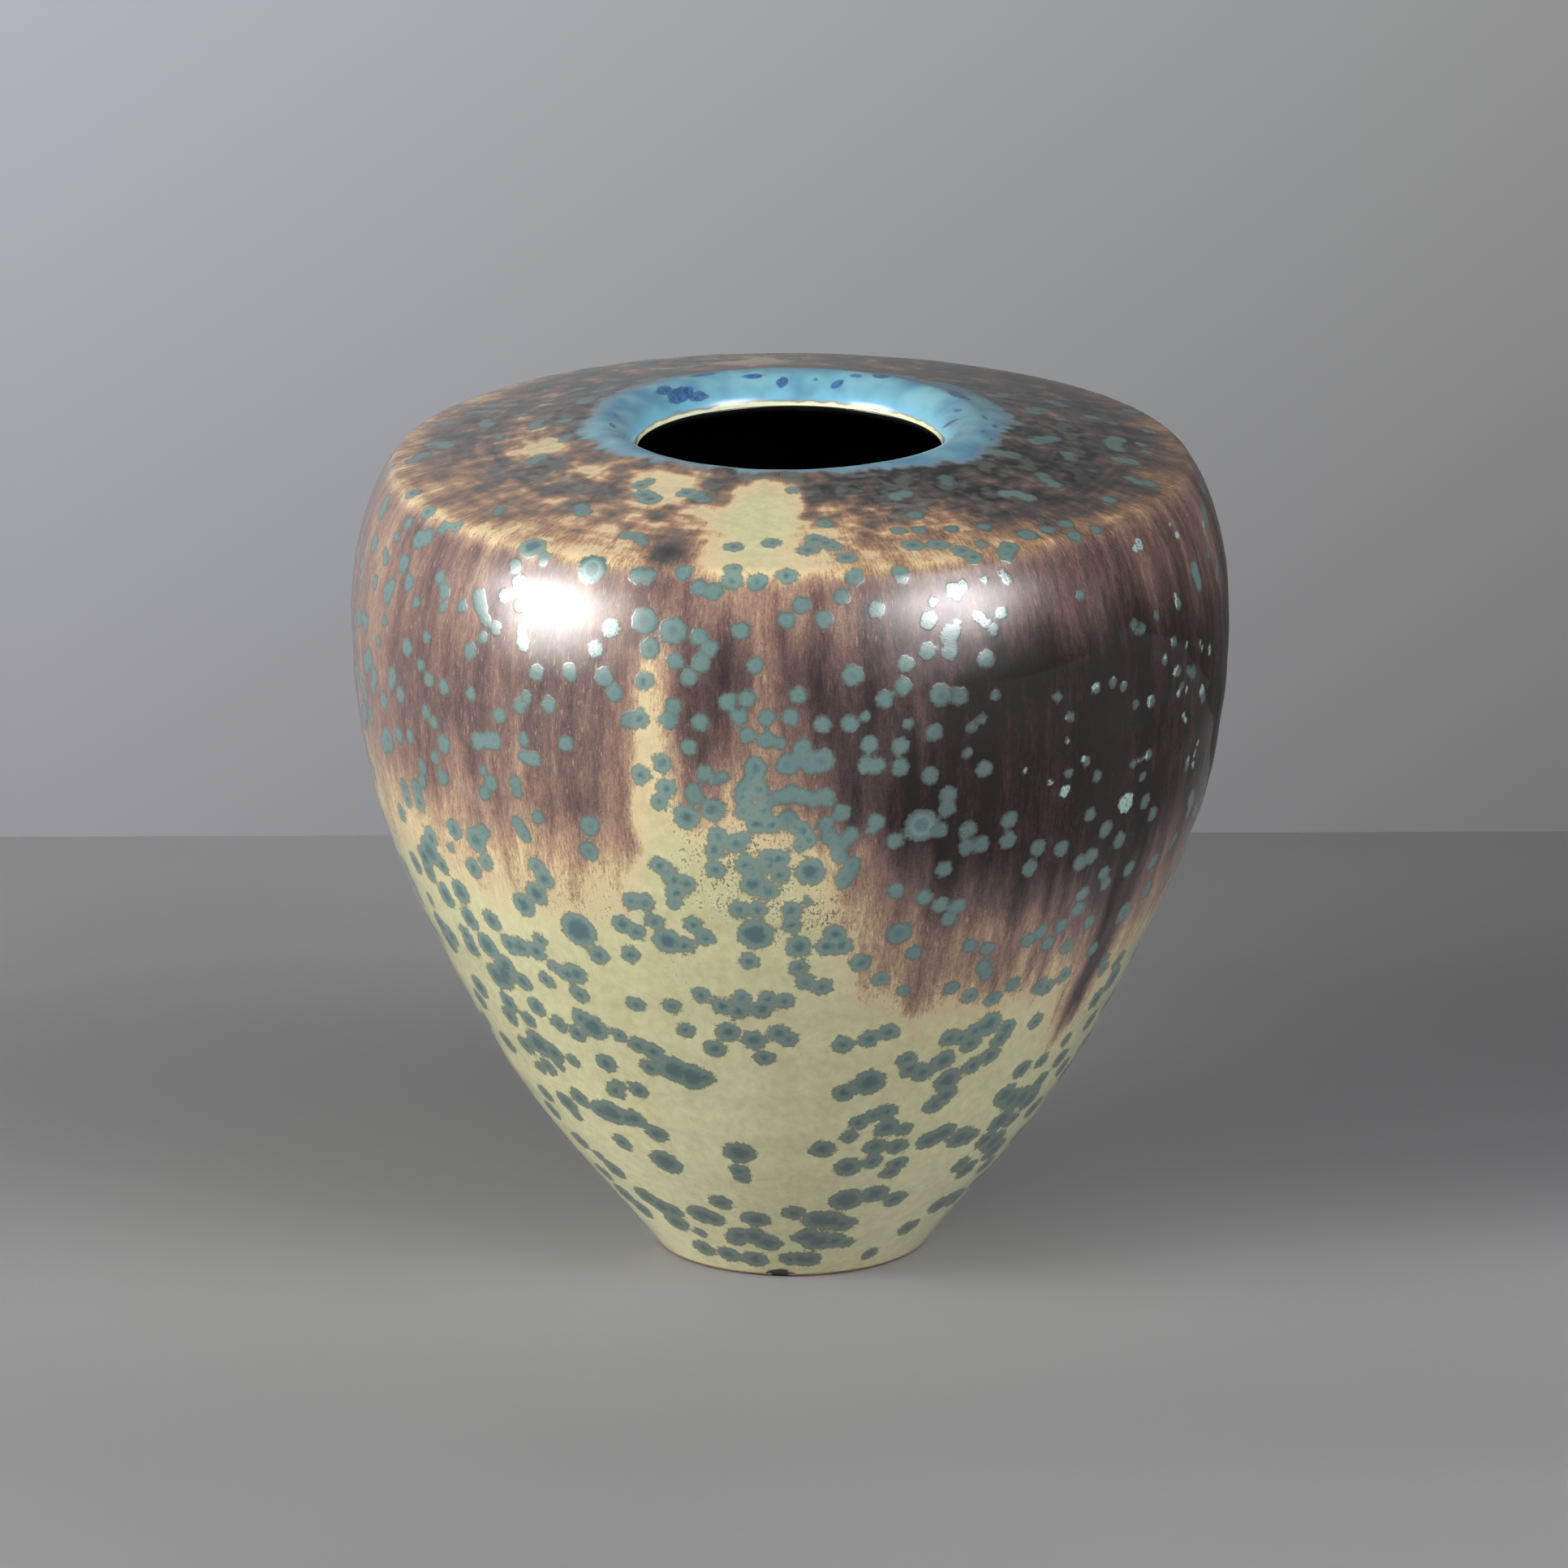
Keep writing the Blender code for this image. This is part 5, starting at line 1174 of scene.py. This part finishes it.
# well away from the vase the paper fades into the same even grey as the surroundings, so there is no horizon
dist = g.node("ShaderNodeVectorMath", operation="LENGTH")
g.put(dist.inputs[0], pos)
far = g.node("ShaderNodeEmission")
g.put(far.inputs["Color"], (0.300, 0.300, 0.310, 1.0))
g.put(far.inputs["Strength"], g.blend(g.node("ShaderNodeLightPath").outputs["Is Camera Ray"], 0.75, 1.15))
fade_out = g.node("ShaderNodeMixShader")
g.put(fade_out.inputs[0], g.smooth(dist.outputs["Value"], 0.45, 1.5))
g.tree.links.new(p.outputs[0], fade_out.inputs[1])
g.tree.links.new(far.outputs[0], fade_out.inputs[2])
g.tree.links.new(fade_out.outputs[0], g.out.inputs["Surface"])
floor.data.materials.append(g.mat)

# the backdrop is only there for a camera that faces it; from anywhere else it is not seen
BACK_Y = 0.366
wall = plane("backdrop", [(-5, BACK_Y, -0.001), (5, BACK_Y, -0.001), (5, BACK_Y, 4.5), (-5, BACK_Y, 4.5)])
g = Nodes("backdrop_paper_painted_light")
geo = g.node("ShaderNodeNewGeometry")
sep = g.node("ShaderNodeSeparateXYZ")
g.put(sep.inputs[0], geo.outputs["Position"])
x01 = g.node("ShaderNodeMapRange")
for i, v in enumerate((sep.outputs[0], -0.23, 0.23, 0.0, 1.0)):
    g.put(x01.inputs[i], v)
z01 = g.node("ShaderNodeMapRange")
for i, v in enumerate((sep.outputs[2], 0.0, 0.26, 0.0, 1.0)):
    g.put(z01.inputs[i], v)
# the backdrop glows with painted light: lighter to the left and at the top, darker to the right and at the bottom
low = g.mix(x01.outputs[0], lin(152, 151, 157), lin(117, 117, 117))
high = g.mix(x01.outputs[0], lin(177, 180, 186), lin(146, 146, 146))
backdrop_painted_light = g.mix(z01.outputs[0], low, high)
emit = g.node("ShaderNodeEmission")
g.put(emit.inputs["Color"], backdrop_painted_light)
# its glow is painted dimmer towards the right in the vase's reflections, and full to the camera and in diffuse light
g.put(emit.inputs["Strength"], g.blend(g.node("ShaderNodeLightPath").outputs["Is Glossy Ray"], 1.0, g.blend(x01.outputs[0], 0.85, 0.26)))
clear = g.node("ShaderNodeBsdfTransparent")
facing = g.node("ShaderNodeVectorMath", operation="DOT_PRODUCT")
g.put(facing.inputs[0], geo.outputs["Incoming"])
facing.inputs[1].default_value = (0.0, -1.0, 0.0)
seen = g.math("GREATER_THAN", facing.outputs["Value"], 0.86)
path = g.node("ShaderNodeLightPath")
front = g.math("GREATER_THAN", facing.outputs["Value"], 0.0)
show = g.blend(path.outputs["Is Camera Ray"], front, seen)
mixer = g.node("ShaderNodeMixShader")
g.put(mixer.inputs[0], show)
g.tree.links.new(clear.outputs[0], mixer.inputs[1])
g.tree.links.new(emit.outputs[0], mixer.inputs[2])
g.tree.links.new(mixer.outputs[0], g.out.inputs["Surface"])
wall.data.materials.append(g.mat)

AIM = Vector((0.0, 0.0, 0.150))


def softbox(name, az, el, dist, width, height, colour, hot, skirt, mirrored=True):
    """Glowing panel, brightest in an oval and falling off softly: hot and skirt are (radiance, x, y, half width, half height)."""
    a, e = math.radians(az), math.radians(el)
    spot = AIM + Vector((math.sin(a) * math.cos(e), -math.cos(a) * math.cos(e), math.sin(e))) * dist
    panel = plane(name, [(-width / 2, -height / 2, 0), (width / 2, -height / 2, 0), (width / 2, height / 2, 0), (-width / 2, height / 2, 0)])
    panel.location = spot
    panel.rotation_mode = "QUATERNION"
    panel.rotation_quaternion = (AIM - spot).to_track_quat("Z", "Y")
    panel.visible_camera = False
    panel.visible_glossy = mirrored
    g = Nodes(name)
    xyz = g.node("ShaderNodeSeparateXYZ")
    g.put(xyz.inputs[0], g.node("ShaderNodeTexCoord").outputs["Object"])
    total = 0.0
    for much, x, y, rx, ry in (hot, skirt):
        u = g.mul(g.add(xyz.outputs[0], -x), 1 / rx)
        v = g.mul(g.add(xyz.outputs[1], -y), 1 / ry)
        d2 = g.fma(u, u, g.mul(v, v))
        total = g.fma(g.math("EXPONENT", g.mul(g.math("POWER", d2, 1.15), -1.0)), much, total)
    back = g.node("ShaderNodeNewGeometry").outputs["Backfacing"]
    e = g.node("ShaderNodeEmission")
    g.put(e.inputs["Color"], (*colour, 1.0))
    g.put(e.inputs["Strength"], g.mul(total, g.sub(1.0, back)))
    g.tree.links.new(e.outputs[0], g.out.inputs["Surface"])
    panel.data.materials.append(g.mat)


softbox("softbox_left", -65, 19, 1.3, 1.6, 1.4, (1.0, 0.99, 0.97), (19.0, 0.03, 0.0, 0.33, 0.29), (2.0, 0, 0, 0.60, 0.55))
softbox("softbox_right", 50, 25, 1.3, 1.8, 1.4, (0.97, 0.98, 1.0), (11.0, 0.06, 0.08, 0.33, 0.32), (2.2, 0.30, 0, 0.45, 0.42))
softbox("fill_left", -100, 14, 1.3, 1.6, 1.4, (1.0, 1.0, 0.99), (3.3, 0.0, 0.0, 0.50, 0.45), (0.0, 0, 0, 0.5, 0.5), False)

world = bpy.data.worlds.new("studio")
world.use_nodes = True
scene.world = world
bg = world.node_tree.nodes["Background"]
bg.inputs["Color"].default_value = (0.300, 0.300, 0.310, 1)
path = world.node_tree.nodes.new("ShaderNodeLightPath")
level = world.node_tree.nodes.new("ShaderNodeMapRange")      # 0.75 as a light, a little paler where the camera sees it
level.inputs["To Min"].default_value, level.inputs["To Max"].default_value = 0.75, 1.15
world.node_tree.links.new(path.outputs["Is Camera Ray"], level.inputs["Value"])
world.node_tree.links.new(level.outputs["Result"], bg.inputs["Strength"])

ELEV, ROLL, LENS, REACH, AIM_Z = 17.3, 0.2, 310.6, 3.710, 0.1299
cam = bpy.data.objects.new("camera", bpy.data.cameras.new("camera"))
scene.collection.objects.link(cam)
cam.data.lens = LENS
cam.data.sensor_width = 36
cam.data.clip_start, cam.data.clip_end = 0.1, 50
e = math.radians(ELEV)
cam.location = (0, -REACH * math.cos(e), AIM_Z + REACH * math.sin(e))
look = Vector((0, math.cos(e), -math.sin(e)))
cam.rotation_mode = "QUATERNION"
cam.rotation_quaternion = look.to_track_quat("-Z", "Y") @ Matrix.Rotation(math.radians(-ROLL), 4, "Z").to_quaternion()
cam.data.shift_x = -(974.4 - 966) / 1932
scene.camera = cam
